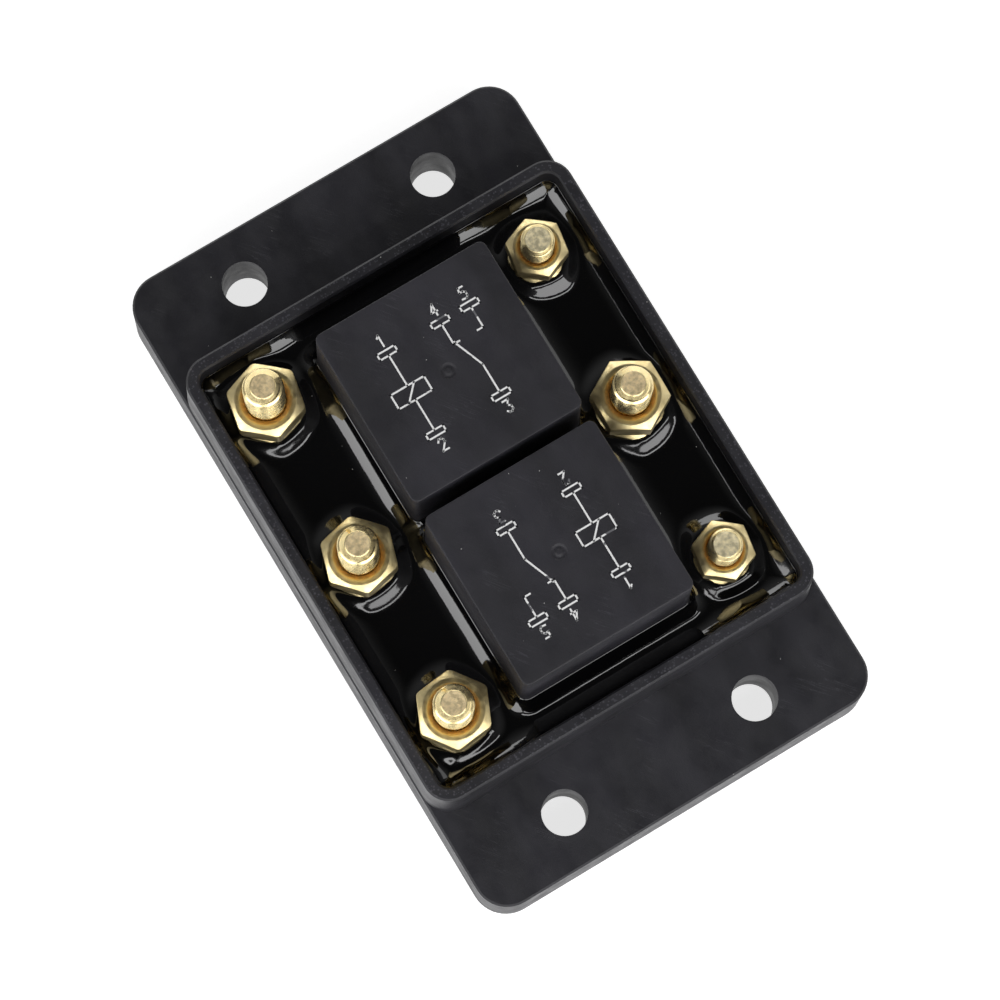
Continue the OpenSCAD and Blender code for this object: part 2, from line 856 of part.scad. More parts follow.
module relay_a_cover() in_relay_a() relay_cover();
module relay_a_base() in_relay_a() relay_base();
module relay_a_bobbin() in_relay_a() relay_bobbin();
module relay_a_coil() in_relay_a() relay_coil();
module relay_a_core() in_relay_a() relay_core();
module relay_a_yoke() in_relay_a() relay_yoke();
module relay_a_armature() in_relay_a() relay_armature();
module relay_a_moving_contact() in_relay_a() relay_moving_contact();
module relay_a_open_contact() in_relay_a() relay_open_contact();
module relay_a_closed_contact() in_relay_a() relay_closed_contact();
module relay_a_spring() in_relay_a() relay_spring();
module relay_a_common_terminal() in_relay_a() relay_common_terminal();
module relay_a_coil_terminal_in() in_relay_a() relay_coil_terminal(1);
module relay_a_coil_terminal_out() in_relay_a() relay_coil_terminal(-1);
module relay_b_cover() in_relay_b() relay_cover();
module relay_b_base() in_relay_b() relay_base();
module relay_b_bobbin() in_relay_b() relay_bobbin();
module relay_b_coil() in_relay_b() relay_coil();
module relay_b_core() in_relay_b() relay_core();
module relay_b_yoke() in_relay_b() relay_yoke();
module relay_b_armature() in_relay_b() relay_armature();
module relay_b_moving_contact() in_relay_b() relay_moving_contact();
module relay_b_open_contact() in_relay_b() relay_open_contact();
module relay_b_closed_contact() in_relay_b() relay_closed_contact();
module relay_b_spring() in_relay_b() relay_spring();
module relay_b_common_terminal() in_relay_b() relay_common_terminal();
module relay_b_coil_terminal_in() in_relay_b() relay_coil_terminal(1);
module relay_b_coil_terminal_out() in_relay_b() relay_coil_terminal(-1);

housing();
potting();
circuit_board();
busbar_positive();
busbar_negative();
busbar_motor_a();
busbar_motor_b();
stud_positive();
stud_negative();
stud_motor_a();
stud_motor_b();
stud_control_a();
stud_control_b();
spacers_large();
spacers_small();
lower_nut_positive();
lower_nut_negative();
lower_nut_motor_a();
lower_nut_motor_b();
lower_nut_control_a();
lower_nut_control_b();
upper_nut_positive();
upper_nut_negative();
upper_nut_motor_a();
upper_nut_motor_b();
upper_nut_control_a();
upper_nut_control_b();
relay_a_cover();
relay_a_base();
relay_a_bobbin();
relay_a_coil();
relay_a_core();
relay_a_yoke();
relay_a_armature();
relay_a_moving_contact();
relay_a_open_contact();
relay_a_closed_contact();
relay_a_spring();
relay_a_common_terminal();
relay_a_coil_terminal_in();
relay_a_coil_terminal_out();
relay_b_cover();
relay_b_base();
relay_b_bobbin();
relay_b_coil();
relay_b_core();
relay_b_yoke();
relay_b_armature();
relay_b_moving_contact();
relay_b_open_contact();
relay_b_closed_contact();
relay_b_spring();
relay_b_common_terminal();
relay_b_coil_terminal_in();
relay_b_coil_terminal_out();
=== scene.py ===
"""Looks of a potted relay module: its compound, threaded studs, nuts and relay covers on the CAD frame."""
import math

import bpy
import numpy as np
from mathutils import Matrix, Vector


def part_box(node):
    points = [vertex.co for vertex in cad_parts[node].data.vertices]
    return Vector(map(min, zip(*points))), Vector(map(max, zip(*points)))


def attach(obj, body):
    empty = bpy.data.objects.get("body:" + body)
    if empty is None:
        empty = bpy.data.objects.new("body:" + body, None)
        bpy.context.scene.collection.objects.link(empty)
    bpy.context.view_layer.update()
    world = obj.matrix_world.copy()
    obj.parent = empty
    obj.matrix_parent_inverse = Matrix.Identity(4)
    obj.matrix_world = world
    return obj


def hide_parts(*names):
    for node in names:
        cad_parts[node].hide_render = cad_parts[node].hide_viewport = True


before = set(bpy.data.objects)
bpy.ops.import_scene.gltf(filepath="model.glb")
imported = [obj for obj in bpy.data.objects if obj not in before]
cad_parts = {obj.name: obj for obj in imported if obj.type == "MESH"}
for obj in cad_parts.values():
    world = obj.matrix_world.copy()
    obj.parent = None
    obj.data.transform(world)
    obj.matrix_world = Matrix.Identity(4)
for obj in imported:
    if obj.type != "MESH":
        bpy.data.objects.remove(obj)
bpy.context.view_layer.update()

bl_info = {
    "name": "Potted relay module",
    "version": (1, 0, 0),
    "blender": (4, 5, 0),
    "location": "3D View > Sidebar > Relay module",
    "description": "Dresses the CAD frame of a potted relay module",
    "category": "Object",
}

MM = 0.001
BODY = "module"
LARGE = ("positive", "negative", "motor_a", "motor_b")
SMALL = ("control_a", "control_b")
RELAYS = ("a", "b")
SOFT_NUTS = ("positive", "motor_a", "motor_b")
FULL_TURN = 2 * math.pi
HEX_STEP = math.radians(60)
HEX_HALF = math.radians(30)
COVER_CORNER = 1.4 * MM
WHITE = (1.0, 1.0, 1.0, 1.0)


# Sizes and colours that a user may change

def length_setting(label, about, length):
    """A length that a user may change."""
    return bpy.props.FloatProperty(name=label, description=about, default=length, unit="LENGTH")


def color_setting(label, about, color):
    """A colour that a user may change."""
    return bpy.props.FloatVectorProperty(name=label, description=about, default=color, subtype="COLOR")


class CompoundShape(bpy.types.PropertyGroup):
    """The poured compound's surface."""

    climb: length_setting("Climb", "How far the compound climbs at the walls", 2.1 * MM)
    reach: length_setting("Reach", "Distance over which the climb fades", 1.75 * MM)
    mound: length_setting("Mound", "Distance over which the mound at a nut fades", 2.1 * MM)
    nut_lip: length_setting("Nut lip", "How much of a lower nut stands clear", 0.45 * MM)
    ripple: length_setting("Ripple", "Height of the slow waves in the surface", 0.05 * MM)
    mesh_step: length_setting("Mesh step", "Spacing of the surface grid", 0.3 * MM)
    color: color_setting("Colour", "Colour of the compound", (0.002, 0.002, 0.0024))


class ThreadShape(bpy.types.PropertyGroup):
    """The studs' threads and tips."""

    large_pitch: length_setting("Large pitch", "Pitch of the large studs", 1 * MM)
    small_pitch: length_setting("Small pitch", "Pitch of the small studs", 0.8 * MM)
    depth_share: bpy.props.FloatProperty(
        name="Depth", description="Thread depth as a share of the pitch", default=0.6, subtype="FACTOR")
    rows_per_turn: bpy.props.IntProperty(
        name="Rows a turn", description="Mesh rows in each turn of thread", default=9)


class NutShape(bpy.types.PropertyGroup):
    """The hexagon nuts."""

    large_face: length_setting("Large face", "Radius of a large nut's round face", 4.4 * MM)
    small_face: length_setting("Small face", "Radius of a small nut's round face", 3.4 * MM)
    large_mouth: length_setting("Large mouth", "Radius of a large nut's sunk mouth", 3.7 * MM)
    small_mouth: length_setting("Small mouth", "Radius of a small nut's sunk mouth", 2.98 * MM)
    chamfer: bpy.props.FloatProperty(
        name="Chamfer", description="Angle of the corner chamfer", default=math.radians(28), subtype="ANGLE")
    corner: length_setting("Corner", "Radius of a sharp hexagon's corners", 0.22 * MM)
    round_corner: length_setting("Round corner", "Radius of a soft hexagon's corners", 0.85 * MM)
    edge: length_setting("Edge", "Rounding of the nut's edges", 0.14 * MM)


class CoverShape(bpy.types.PropertyGroup):
    """The relay covers."""

    corner: length_setting("Corner", "Corner radius at the foot", COVER_CORNER)
    draft: length_setting("Draft", "Narrowing of each side towards the top", 0.3 * MM)
    edge: length_setting("Edge", "Rounding of the top edge", 0.21 * MM)
    wall: length_setting("Wall", "Wall thickness", 1.1 * MM)
    dimple: length_setting("Dimple", "Radius of the gate mark", 1.1 * MM)
    dimple_depth: length_setting("Dimple depth", "Depth of the gate mark", 0.22 * MM)
    color: color_setting("Colour", "Colour of the covers", (0.0165, 0.0157, 0.021))


class PrintShape(bpy.types.PropertyGroup):
    """The plain line symbol printed on each cover."""

    line: length_setting("Line", "Width of the printed lines", 0.26 * MM)
    film: length_setting("Film", "Thickness of the print", 0.015 * MM)
    digit: length_setting("Digit", "Height of the digits", 1.75 * MM)
    color: color_setting("Colour", "Colour of the print", (0.8, 0.8, 0.8))


class Finishes(bpy.types.PropertyGroup):
    """Colours of the moulded and metal pieces."""

    housing: color_setting("Housing", "Colour of the housing", (0.0182, 0.0178, 0.0222))
    brass: color_setting("Brass", "Colour of clean brass", (1.0, 0.84, 0.46))
    tarnish: color_setting("Tarnish", "Colour of tarnished brass", (0.8, 0.61, 0.26))
    # The nuts' sunk mouths: a darker orange painted as shade and as brass reflected in brass.
    mouth_shade_color: color_setting("Deep brass", "Colour inside the nuts' mouths", (0.86, 0.5, 0.14))
    copper: color_setting("Copper", "Colour of the copper pieces", (0.75, 0.36, 0.2))


class Studio(bpy.types.PropertyGroup):
    """Camera, floor and the light from all round."""

    eye: bpy.props.FloatVectorProperty(
        name="Eye", description="Place of the camera", subtype="TRANSLATION", unit="LENGTH",
        default=(-58.303 * MM, -81.759 * MM, 592.349 * MM))
    turn: bpy.props.FloatVectorProperty(
        name="Turn", description="Turn of the camera", subtype="EULER", unit="ROTATION",
        default=(math.radians(9.622), math.radians(-0.793), math.radians(-31.07)))
    lens: bpy.props.FloatProperty(
        name="Lens", description="Focal length in millimetres", default=147.462, unit="CAMERA")
    floor_size: length_setting("Floor", "Side of the floor", 3)
    floor_color: color_setting("Floor colour", "Colour of the floor", (0.6, 0.6, 0.6))
    world_level: bpy.props.FloatProperty(
        name="World", description="Level of the light from all round", default=0.32, subtype="FACTOR")


# Mesh helpers

def ring_quads(rows, columns, closed_rows=False):
    """Corner numbers of the quads between neighbouring rows of a grid whose columns run round and close."""
    row_count = rows if closed_rows else rows - 1
    i = np.arange(row_count)[:, None]
    j = np.arange(columns)[None, :]
    below = i * columns
    above = (i + 1) % rows * columns
    right = (j + 1) % columns
    return np.stack([below + j, below + right, above + right, above + j], axis=-1).reshape(-1, 4)


def fan(centre, ring, turned):
    """Triangles from one corner to each side of a closed ring."""
    after = np.roll(ring, -1)
    middle = np.full_like(ring, centre)
    order = [middle, after, ring] if turned else [middle, ring, after]
    return np.stack(order, axis=-1)


def new_piece(name, corners, quads, triangles=None, values=None):
    """An object at the origin from arrays of corners, quads and triangles, with named values at corners."""
    mesh = bpy.data.meshes.new(name)
    triangles = np.zeros((0, 3), int) if triangles is None else triangles
    mesh.vertices.add(len(corners))
    mesh.vertices.foreach_set("co", np.ascontiguousarray(corners, np.float32).ravel())
    loops = np.concatenate([quads.ravel(), triangles.ravel()]).astype(np.int32)
    mesh.loops.add(len(loops))
    mesh.loops.foreach_set("vertex_index", loops)
    sizes = np.concatenate([np.full(len(quads), 4), np.full(len(triangles), 3)])
    mesh.polygons.add(len(sizes))
    mesh.polygons.foreach_set("loop_start", (np.cumsum(sizes) - sizes).astype(np.int32))
    mesh.polygons.foreach_set("use_smooth", np.ones(len(sizes), bool))
    for value_name, numbers in (values or {}).items():
        layer = mesh.attributes.new(value_name, "FLOAT", "POINT")
        layer.data.foreach_set("value", np.ascontiguousarray(numbers, np.float32).ravel())
    mesh.update(calc_edges=True)
    mesh.validate()
    piece = bpy.data.objects.new(name, mesh)
    bpy.context.scene.collection.objects.link(piece)
    return piece


def closed_sweep(name, rows, values=None):
    """Rows of corners, shaped (rows, columns, 3), from a bottom pole to a top pole. Each end is closed by a
    fan."""
    count, columns, _ = rows.shape
    corners = np.concatenate([rows.reshape(-1, 3), rows[0].mean(0)[None], rows[-1].mean(0)[None]])
    first = np.arange(columns)
    last = first + (count - 1) * columns
    triangles = np.concatenate([
        fan(count * columns, first, turned=True),
        fan(count * columns + 1, last, turned=False),
    ])
    filled = {}
    for value_name, numbers in (values or {}).items():
        filled[value_name] = np.concatenate([numbers.ravel(), [numbers[0].mean()], [numbers[-1].mean()]])
    return new_piece(name, corners, ring_quads(count, columns), triangles, filled)


def softened(path, radius, steps=3):
    """A path of corners, shaped (corners, ..., 2), with each inner corner replaced by a short curve: points
    on the quadratic curve from radius before the corner, through it, to radius after it. A curve takes no
    more than a given share of a side."""
    most = 0.45
    share = np.linspace(0, 1, steps)
    rows = [path[0]]
    for before, corner, after in zip(path[:-2], path[1:-1], path[2:]):
        to_before = before - corner
        to_after = after - corner
        length_before = np.linalg.norm(to_before, axis=-1, keepdims=True)
        length_after = np.linalg.norm(to_after, axis=-1, keepdims=True)
        start = corner + to_before * np.minimum(radius / length_before, most)
        end = corner + to_after * np.minimum(radius / length_after, most)
        rows += [(1 - t) ** 2 * start + 2 * t * (1 - t) * corner + t ** 2 * end for t in share]
    rows.append(path[-1])
    return np.stack(rows)


def hexagon(across_flats, turn, corner, per_corner=5, per_flat=7):
    """Angles and radii of a hexagon with rounded corners. On a flat the radius is half the width over the
    cosine of the angle from the flat's middle; at a corner it reaches a circle that touches both flats."""
    apothem = across_flats / 2
    straight = (apothem - corner) * math.tan(HEX_HALF)
    tangent = math.atan2(straight, apothem)
    on_flat = np.linspace(-tangent, tangent, per_flat)
    past = np.linspace(tangent, HEX_HALF, per_corner)[1:]
    sector = np.concatenate([-past[::-1][1:], on_flat, past])
    centre = (apothem - corner) / math.cos(HEX_HALF)
    from_corner = HEX_HALF - np.abs(sector)
    round_radius = centre * np.cos(from_corner) + np.sqrt(
        np.maximum(corner ** 2 - (centre * np.sin(from_corner)) ** 2, 0))
    radius = np.where(np.abs(sector) > tangent, round_radius, apothem / np.cos(sector))
    angle = turn + HEX_HALF + (np.arange(6)[:, None] * HEX_STEP + sector[None, :]).ravel()
    return angle, np.tile(radius, 6)


def around(centre, angle, radius_and_height):
    """Places the points (radius, height) of a profile, shaped (rows, columns, 2), round a vertical axis."""
    radius = radius_and_height[..., 0]
    height = radius_and_height[..., 1]
    x = centre[0] + radius * np.cos(angle)
    y = centre[1] + radius * np.sin(angle)
    return np.stack([x, y, height], axis=-1)


def profile_rows(points, columns):
    """Rows of a profile, shaped (points, columns, 2), from pairs of radius and height: each is one number for
    the whole row or an array with one for each column."""
    ones = np.ones(columns)
    return np.stack([np.stack([ones * radius, ones * height], axis=-1) for radius, height in points])


def rounded_outline(half_x, half_y, radius, per_corner=7, per_side=14):
    """Points of a rectangle with round corners, anticlockwise, as a closed ring without its last point."""
    points = []
    arc = np.linspace(0, math.pi / 2, per_corner)
    corner_signs = ((1, 1), (-1, 1), (-1, -1), (1, -1))
    for number, (sx, sy) in enumerate(corner_signs):
        angle = arc + number * math.pi / 2
        centre = np.array([sx * (half_x - radius), sy * (half_y - radius)])
        points.append(centre + radius * np.stack([np.cos(angle), np.sin(angle)], axis=-1))
    ring = []
    for corner, following in zip(points, points[1:] + points[:1]):
        ring.append(corner)
        along = np.linspace(0, 1, per_side + 2)[1:-1, None]
        ring.append(corner[-1] * (1 - along) + following[0] * along)
    return np.concatenate(ring)


def node_corners(node):
    """The corners of a CAD node's mesh as an array."""
    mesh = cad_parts[node].data
    flat = np.empty(len(mesh.vertices) * 3, np.float32)
    mesh.vertices.foreach_get("co", flat)
    return flat.reshape(-1, 3)


def node_centre(node):
    """Centre of a CAD node's box."""
    low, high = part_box(node)
    return [(a + b) / 2 for a, b in zip(low, high)]


def hexagon_facts(node, centre):
    """Turn and width across flats of a hexagonal CAD node, from its corner furthest from the axis."""
    corners = node_corners(node)
    dx = corners[:, 0] - centre[0]
    dy = corners[:, 1] - centre[1]
    distance = np.hypot(dx, dy)
    far = distance.argmax()
    turn = math.atan2(dy[far], dx[far]) % HEX_STEP
    return turn, 2 * float(distance[far]) * math.cos(HEX_HALF)


# Shader helpers

def feed(tree, socket, value):
    """Sets a socket to a value, or joins it to another socket."""
    if isinstance(value, bpy.types.NodeSocket):
        tree.links.new(value, socket)
    else:
        socket.default_value = value


def add_node(tree, kind, settings=None, **inputs):
    """A shader node with its settings, and its inputs set to values or joined to sockets. An input goes by
    its name, or by i and its number."""
    made = tree.nodes.new(kind)
    for key, value in (settings or {}).items():
        setattr(made, key, value)
    for key, value in inputs.items():
        numbered = key[0] == "i" and key[1:].isdigit()
        feed(tree, made.inputs[int(key[1:]) if numbered else key.replace("_", " ")], value)
    return made


def math_node(tree, operation, a, b=0.0):
    """The result of one sum on two values or sockets."""
    return add_node(tree, "ShaderNodeMath", {"operation": operation}, i0=a, i1=b).outputs[0]


def times(tree, a, b):
    """The product of two values or sockets."""
    return math_node(tree, "MULTIPLY", a, b)


def spread(tree, value, low, high, to_low=0.0, to_high=1.0):
    """A value moved from one range to another and clamped."""
    made = add_node(tree, "ShaderNodeMapRange", Value=value, From_Min=low, From_Max=high, To_Min=to_low,
                    To_Max=to_high)
    return made.outputs["Result"]


def between(tree, share, low, high):
    """The value that lies a share of the way from one number to another."""
    return spread(tree, share, 0.0, 1.0, low, high)


def mix_colors(tree, factor, first, second):
    """A blend of two colours or sockets."""
    made = add_node(tree, "ShaderNodeMix", {"data_type": "RGBA"}, Factor=factor, i6=first, i7=second)
    return made.outputs[2]


def object_place(tree):
    """The object coordinates."""
    return add_node(tree, "ShaderNodeTexCoord").outputs["Object"]


def place_parts(tree):
    """X, Y and Z of the object coordinates."""
    return add_node(tree, "ShaderNodeSeparateXYZ", Vector=object_place(tree)).outputs


def noise(tree, place, scale, detail):
    """The value of a noise at a place."""
    return add_node(tree, "ShaderNodeTexNoise", Vector=place, Scale=scale, Detail=detail).outputs["Fac"]


def solid(color):
    """A colour with full alpha."""
    return (*color, 1.0)


def shaded(color, share):
    """A share of a colour, with full alpha."""
    return solid([c * share for c in color])


# Effects that several materials share

def fine_grain(tree, given):
    """Fine moulding grain: two sizes of noise on object coordinates, put out as a height."""
    coarse_scale = 0.22
    place = object_place(tree)
    scale = math_node(tree, "DIVIDE", 1.0, given["Grain size"])
    fine = noise(tree, place, scale, detail=3.0)
    coarse = noise(tree, place, times(tree, scale, coarse_scale), detail=2.0)
    return math_node(tree, "ADD", fine, times(tree, coarse, given["Coarse share"]))


def dust_specks(tree, given):
    """Dust: small discs at the middles of scattered cells, kept only in a share of the cells."""
    scale = math_node(tree, "DIVIDE", 1.0, given["Cell size"])
    cells = add_node(tree, "ShaderNodeTexVoronoi", Vector=object_place(tree), Scale=scale).outputs
    luck = add_node(tree, "ShaderNodeSeparateColor", Color=cells["Color"]).outputs
    kept = math_node(tree, "LESS_THAN", luck["Red"], given["Kept share"])
    size = times(tree, given["Speck share"], luck["Green"])
    near = math_node(tree, "LESS_THAN", cells["Distance"], size)
    return times(tree, kept, near)


def fine_scratches(tree, given):
    """Fine scratches: the thin level lines of a noise that is stretched along one direction, kept where a
    slow noise is high."""
    stretch = (0.06, 1.0, 1.0)
    middle = 0.5
    patch_scale, patch_low, patch_high = 160.0, 0.52, 0.66
    place = object_place(tree)
    turned = add_node(tree, "ShaderNodeVectorRotate", {"rotation_type": "Z_AXIS"}, Vector=place,
                      Angle=given["Turn"]).outputs[0]
    stretched = add_node(tree, "ShaderNodeVectorMath", {"operation": "MULTIPLY"}, i0=turned,
                         i1=stretch).outputs[0]
    streaks = noise(tree, stretched, given["Density"], detail=2.0)
    level = math_node(tree, "ABSOLUTE", math_node(tree, "SUBTRACT", streaks, middle))
    line = math_node(tree, "LESS_THAN", level, given["Line share"])
    patches = noise(tree, place, patch_scale, detail=1.0)
    return times(tree, line, spread(tree, patches, patch_low, patch_high))


def slow_clouds(tree, given):
    """Slow blotches: a noise on object coordinates, stretched by separate sizes across and along."""
    low, high = 0.35, 0.65
    parts = place_parts(tree)
    across = math_node(tree, "DIVIDE", parts["X"], given["Across"])
    along = math_node(tree, "DIVIDE", parts["Y"], given["Along"])
    up = math_node(tree, "DIVIDE", parts["Z"], given["Across"])
    joined = add_node(tree, "ShaderNodeCombineXYZ", X=across, Y=along, Z=up).outputs[0]
    return spread(tree, noise(tree, joined, scale=1.0, detail=3.0), low, high)


EFFECTS = {
    "Fine grain": (fine_grain, ("Grain size", "Coarse share"), "Height"),
    "Dust specks": (dust_specks, ("Cell size", "Speck share", "Kept share"), "Mask"),
    "Fine scratches": (fine_scratches, ("Turn", "Density", "Line share"), "Mask"),
    "Slow clouds": (slow_clouds, ("Across", "Along"), "Mask"),
}


def shared_effect(name):
    """The shader group of a name with its named sockets, built the first time that it is asked for."""
    if name in bpy.data.node_groups:
        return bpy.data.node_groups[name]
    build, inputs, output = EFFECTS[name]
    tree = bpy.data.node_groups.new(name, "ShaderNodeTree")
    for label in inputs:
        tree.interface.new_socket(name=label, in_out="INPUT", socket_type="NodeSocketFloat")
    tree.interface.new_socket(name=output, in_out="OUTPUT", socket_type="NodeSocketFloat")
    given = tree.nodes.new("NodeGroupInput")
    result = tree.nodes.new("NodeGroupOutput")
    tree.links.new(build(tree, given.outputs), result.inputs[output])
    return tree


def use_effect(tree, name, **inputs):
    """Places a shared effect in a material with its own values and gives its output."""
    made = tree.nodes.new("ShaderNodeGroup")
    made.node_tree = shared_effect(name)
    for label, value in inputs.items():
        made.inputs[label.replace("_", " ")].default_value = value
    return made.outputs[0]


# Materials

def new_material(name):
    """A material with its Principled shader, the tree and the shader node."""
    if name in bpy.data.materials:
        bpy.data.materials.remove(bpy.data.materials[name])
    material = bpy.data.materials.new(name)
    material.use_nodes = True
    tree = material.node_tree
    shader = next(n for n in tree.nodes if n.type == "BSDF_PRINCIPLED")
    return material, tree, shader


def set_shader(tree, shader, **inputs):
    """Sets named inputs of a material's shader to values, or joins them to sockets."""
    for key, value in inputs.items():
        feed(tree, shader.inputs[key.replace("_", " ")], value)


def join_bump(tree, shader, height, distance):
    """A height that feeds the shader's normal through a Bump node."""
    bump = add_node(tree, "ShaderNodeBump", Strength=1.0, Distance=distance, Height=height)
    tree.links.new(bump.outputs["Normal"], shader.inputs["Normal"])


def moulded_material(name, color, grain, depth, rough, dust_share, scuffed_above=None):
    """Moulded plastic: slow blotches in its tone and its roughness, fine grain, scratches, dust, and scuffs
    on faces above a height."""
    darker, lighter = 0.72, 1.3
    scratch_tone, scratch_depth = 0.35, -0.25
    scuff_share, scuff_gain, scuff_lift = 0.5, 4, 0.02
    dust_color = solid((0.45, 0.45, 0.44))
    material, tree, shader = new_material(name)
    clouds = use_effect(tree, "Slow clouds", Across=7 * MM, Along=22 * MM)
    tone = mix_colors(tree, clouds, shaded(color, darker), shaded(color, lighter))
    scratches = use_effect(tree, "Fine scratches", Turn=0.9, Density=1500.0, Line_share=0.008)
    worn = times(tree, scratches, scratch_tone)
    if scuffed_above is not None:
        high = math_node(tree, "GREATER_THAN", place_parts(tree)["Z"], scuffed_above)
        rubbed = use_effect(tree, "Dust specks", Cell_size=0.34 * MM, Speck_share=0.5, Kept_share=0.8)
        worn = math_node(tree, "MAXIMUM", worn, times(tree, rubbed, high))
    pale = solid([c * scuff_gain + scuff_lift for c in color])
    scuffed = mix_colors(tree, times(tree, worn, scuff_share), tone, pale)
    dust = use_effect(tree, "Dust specks", Cell_size=1.8 * MM, Speck_share=0.05, Kept_share=dust_share)
    blotches = use_effect(tree, "Slow clouds", Across=3 * MM, Along=4 * MM)
    set_shader(tree, shader, Base_Color=mix_colors(tree, dust, scuffed, dust_color),
               Roughness=between(tree, blotches, *rough), IOR=1.5)
    height = use_effect(tree, "Fine grain", Grain_size=grain, Coarse_share=0.5)
    join_bump(tree, shader, math_node(tree, "ADD", height, times(tree, scratches, scratch_depth)), depth)
    return material


def compound_material(color):
    """Cast epoxy: jet black, glossy, with faint waves, a little haze and dust."""
    dust_color = solid((0.5, 0.5, 0.48))
    dust_rough = 0.6
    clear_rough, hazy_rough = 0.03, 0.09
    material, tree, shader = new_material("Poured compound")
    dust = use_effect(tree, "Dust specks", Cell_size=1.9 * MM, Speck_share=0.05, Kept_share=0.4)
    haze = use_effect(tree, "Slow clouds", Across=5 * MM, Along=7 * MM)
    clear = between(tree, haze, clear_rough, hazy_rough)
    set_shader(tree, shader, Base_Color=mix_colors(tree, dust, solid(color), dust_color),
               Roughness=math_node(tree, "ADD", clear, times(tree, dust, dust_rough)), IOR=1.78)
    waves = use_effect(tree, "Fine grain", Grain_size=2.4 * MM, Coarse_share=1.0)
    join_bump(tree, shader, waves, distance=0.02 * MM)
    return material


def brass_material(name, finishes, cut_and_mouth_mask_name, cut_and_mouth_shade_color, rough, depth, inner_lumps):
    """Machined brass: tarnish in slow clouds, stained pits, tool marks, and a named mask for the sunk or cut
    faces, which are rougher and lumpier and take another colour: its own on a stud's cut end, and in a nut's
    sunk mouth a darker orange that is painted shade and painted reflection of the brass round it."""
    tarnish_share, stain_share = 0.45, 0.3
    inner_shade, inner_rough = 0.58, 0.34
    outer_lumps, mark_depth = 0.5, 0.3
    stain = solid((0.12, 0.07, 0.03))
    material, tree, shader = new_material(name)
    clouds = use_effect(tree, "Slow clouds", Across=1.6 * MM, Along=2.1 * MM)
    dulled = times(tree, clouds, tarnish_share)
    tone = mix_colors(tree, dulled, solid(finishes.brass), solid(finishes.tarnish))
    # Masked faces: a stud's cut end keeps its own colour, while a nut's sunk mouth gets painted shade and
    # painted brass reflection.
    inner = add_node(tree, "ShaderNodeAttribute", {"attribute_name": cut_and_mouth_mask_name}).outputs["Fac"]
    fine = use_effect(tree, "Slow clouds", Across=0.7 * MM, Along=0.7 * MM)
    cut_and_mouth_shade_tone = mix_colors(tree, fine, solid(cut_and_mouth_shade_color), shaded(cut_and_mouth_shade_color, inner_shade))
    clean = mix_colors(tree, inner, tone, cut_and_mouth_shade_tone)
    pits = use_effect(tree, "Dust specks", Cell_size=0.6 * MM, Speck_share=0.1, Kept_share=0.25)
    roughness = math_node(tree, "ADD", between(tree, fine, *rough), times(tree, inner, inner_rough))
    set_shader(tree, shader, Base_Color=mix_colors(tree, times(tree, pits, stain_share), clean, stain),
               Roughness=roughness, Metallic=1.0)
    marks = use_effect(tree, "Fine scratches", Turn=1.2, Density=3000.0, Line_share=0.05)
    texture = use_effect(tree, "Fine grain", Grain_size=0.16 * MM, Coarse_share=0.8)
    lumpy = times(tree, texture, between(tree, inner, outer_lumps, inner_lumps))
    join_bump(tree, shader, math_node(tree, "SUBTRACT", lumpy, times(tree, marks, mark_depth)), depth)
    return material


def plain_metal(name, color, roughness):
    """Rolled or drawn metal of the hidden works: faint blotches and drawing marks."""
    darker, mark_rough = 0.85, 0.15
    material, tree, shader = new_material(name)
    clouds = use_effect(tree, "Slow clouds", Across=2 * MM, Along=5 * MM)
    marks = use_effect(tree, "Fine scratches", Turn=0.1, Density=1800.0, Line_share=0.03)
    set_shader(tree, shader, Base_Color=mix_colors(tree, clouds, shaded(color, darker), solid(color)),
               Roughness=between(tree, marks, roughness, roughness + mark_rough), Metallic=1.0)
    join_bump(tree, shader, marks, distance=-0.01 * MM)
    return material


def winding_material():
    """Enamelled wire: fine turns as waves along the coil's height, with the grooves between turns darkened as
    painted shade.
    """
    wire = 0.22 * MM
    # The groove colour is painted shade between the turns; the crown colour is the wire's own.
    groove_shade, crown = solid((0.2, 0.06, 0.02)), solid((0.55, 0.2, 0.07))
    material, tree, shader = new_material("Enamelled wire")
    turns = math_node(tree, "SINE", times(tree, place_parts(tree)["Z"], FULL_TURN / wire))
    tone = mix_colors(tree, spread(tree, turns, -1.0, 1.0), groove_shade, crown)
    set_shader(tree, shader, Base_Color=tone, Roughness=0.3, Metallic=0.8)
    join_bump(tree, shader, turns, distance=0.05 * MM)
    return material


def print_material(color):
    """Pad-printed ink, thin and broken where it has worn, which is where slow clouds are lowest."""
    worn, sound = 0.01, 0.07
    worn_color = solid((0.12, 0.12, 0.13))
    material, tree, shader = new_material("Printed ink")
    patches = use_effect(tree, "Slow clouds", Across=3.2 * MM, Along=2.6 * MM)
    tone = mix_colors(tree, spread(tree, patches, worn, sound), worn_color, solid(color))
    set_shader(tree, shader, Base_Color=tone, Roughness=0.6)
    height = use_effect(tree, "Fine grain", Grain_size=0.2 * MM, Coarse_share=0.5)
    join_bump(tree, shader, height, distance=0.01 * MM)
    return material


def board_material():
    """Board laminate: green resin with a faint weave."""
    thread = 0.5 * MM
    dark_green, light_green = solid((0.02, 0.11, 0.045)), solid((0.03, 0.16, 0.07))
    material, tree, shader = new_material("Board laminate")
    parts = place_parts(tree)
    warp, weft = [math_node(tree, "SINE", times(tree, parts[axis], FULL_TURN / thread)) for axis in "XY"]
    weave = times(tree, warp, weft)
    tone = mix_colors(tree, spread(tree, weave, -1.0, 1.0), dark_green, light_green)
    set_shader(tree, shader, Base_Color=tone, Roughness=0.3)
    join_bump(tree, shader, weave, distance=0.01 * MM)
    return material


def paint(piece, material):
    """Gives every slot of an object one material."""
    if not piece.data.materials:
        piece.data.materials.append(material)
    for slot in piece.material_slots:
        slot.link = "OBJECT"
        slot.material = material


# Shapes of the pieces

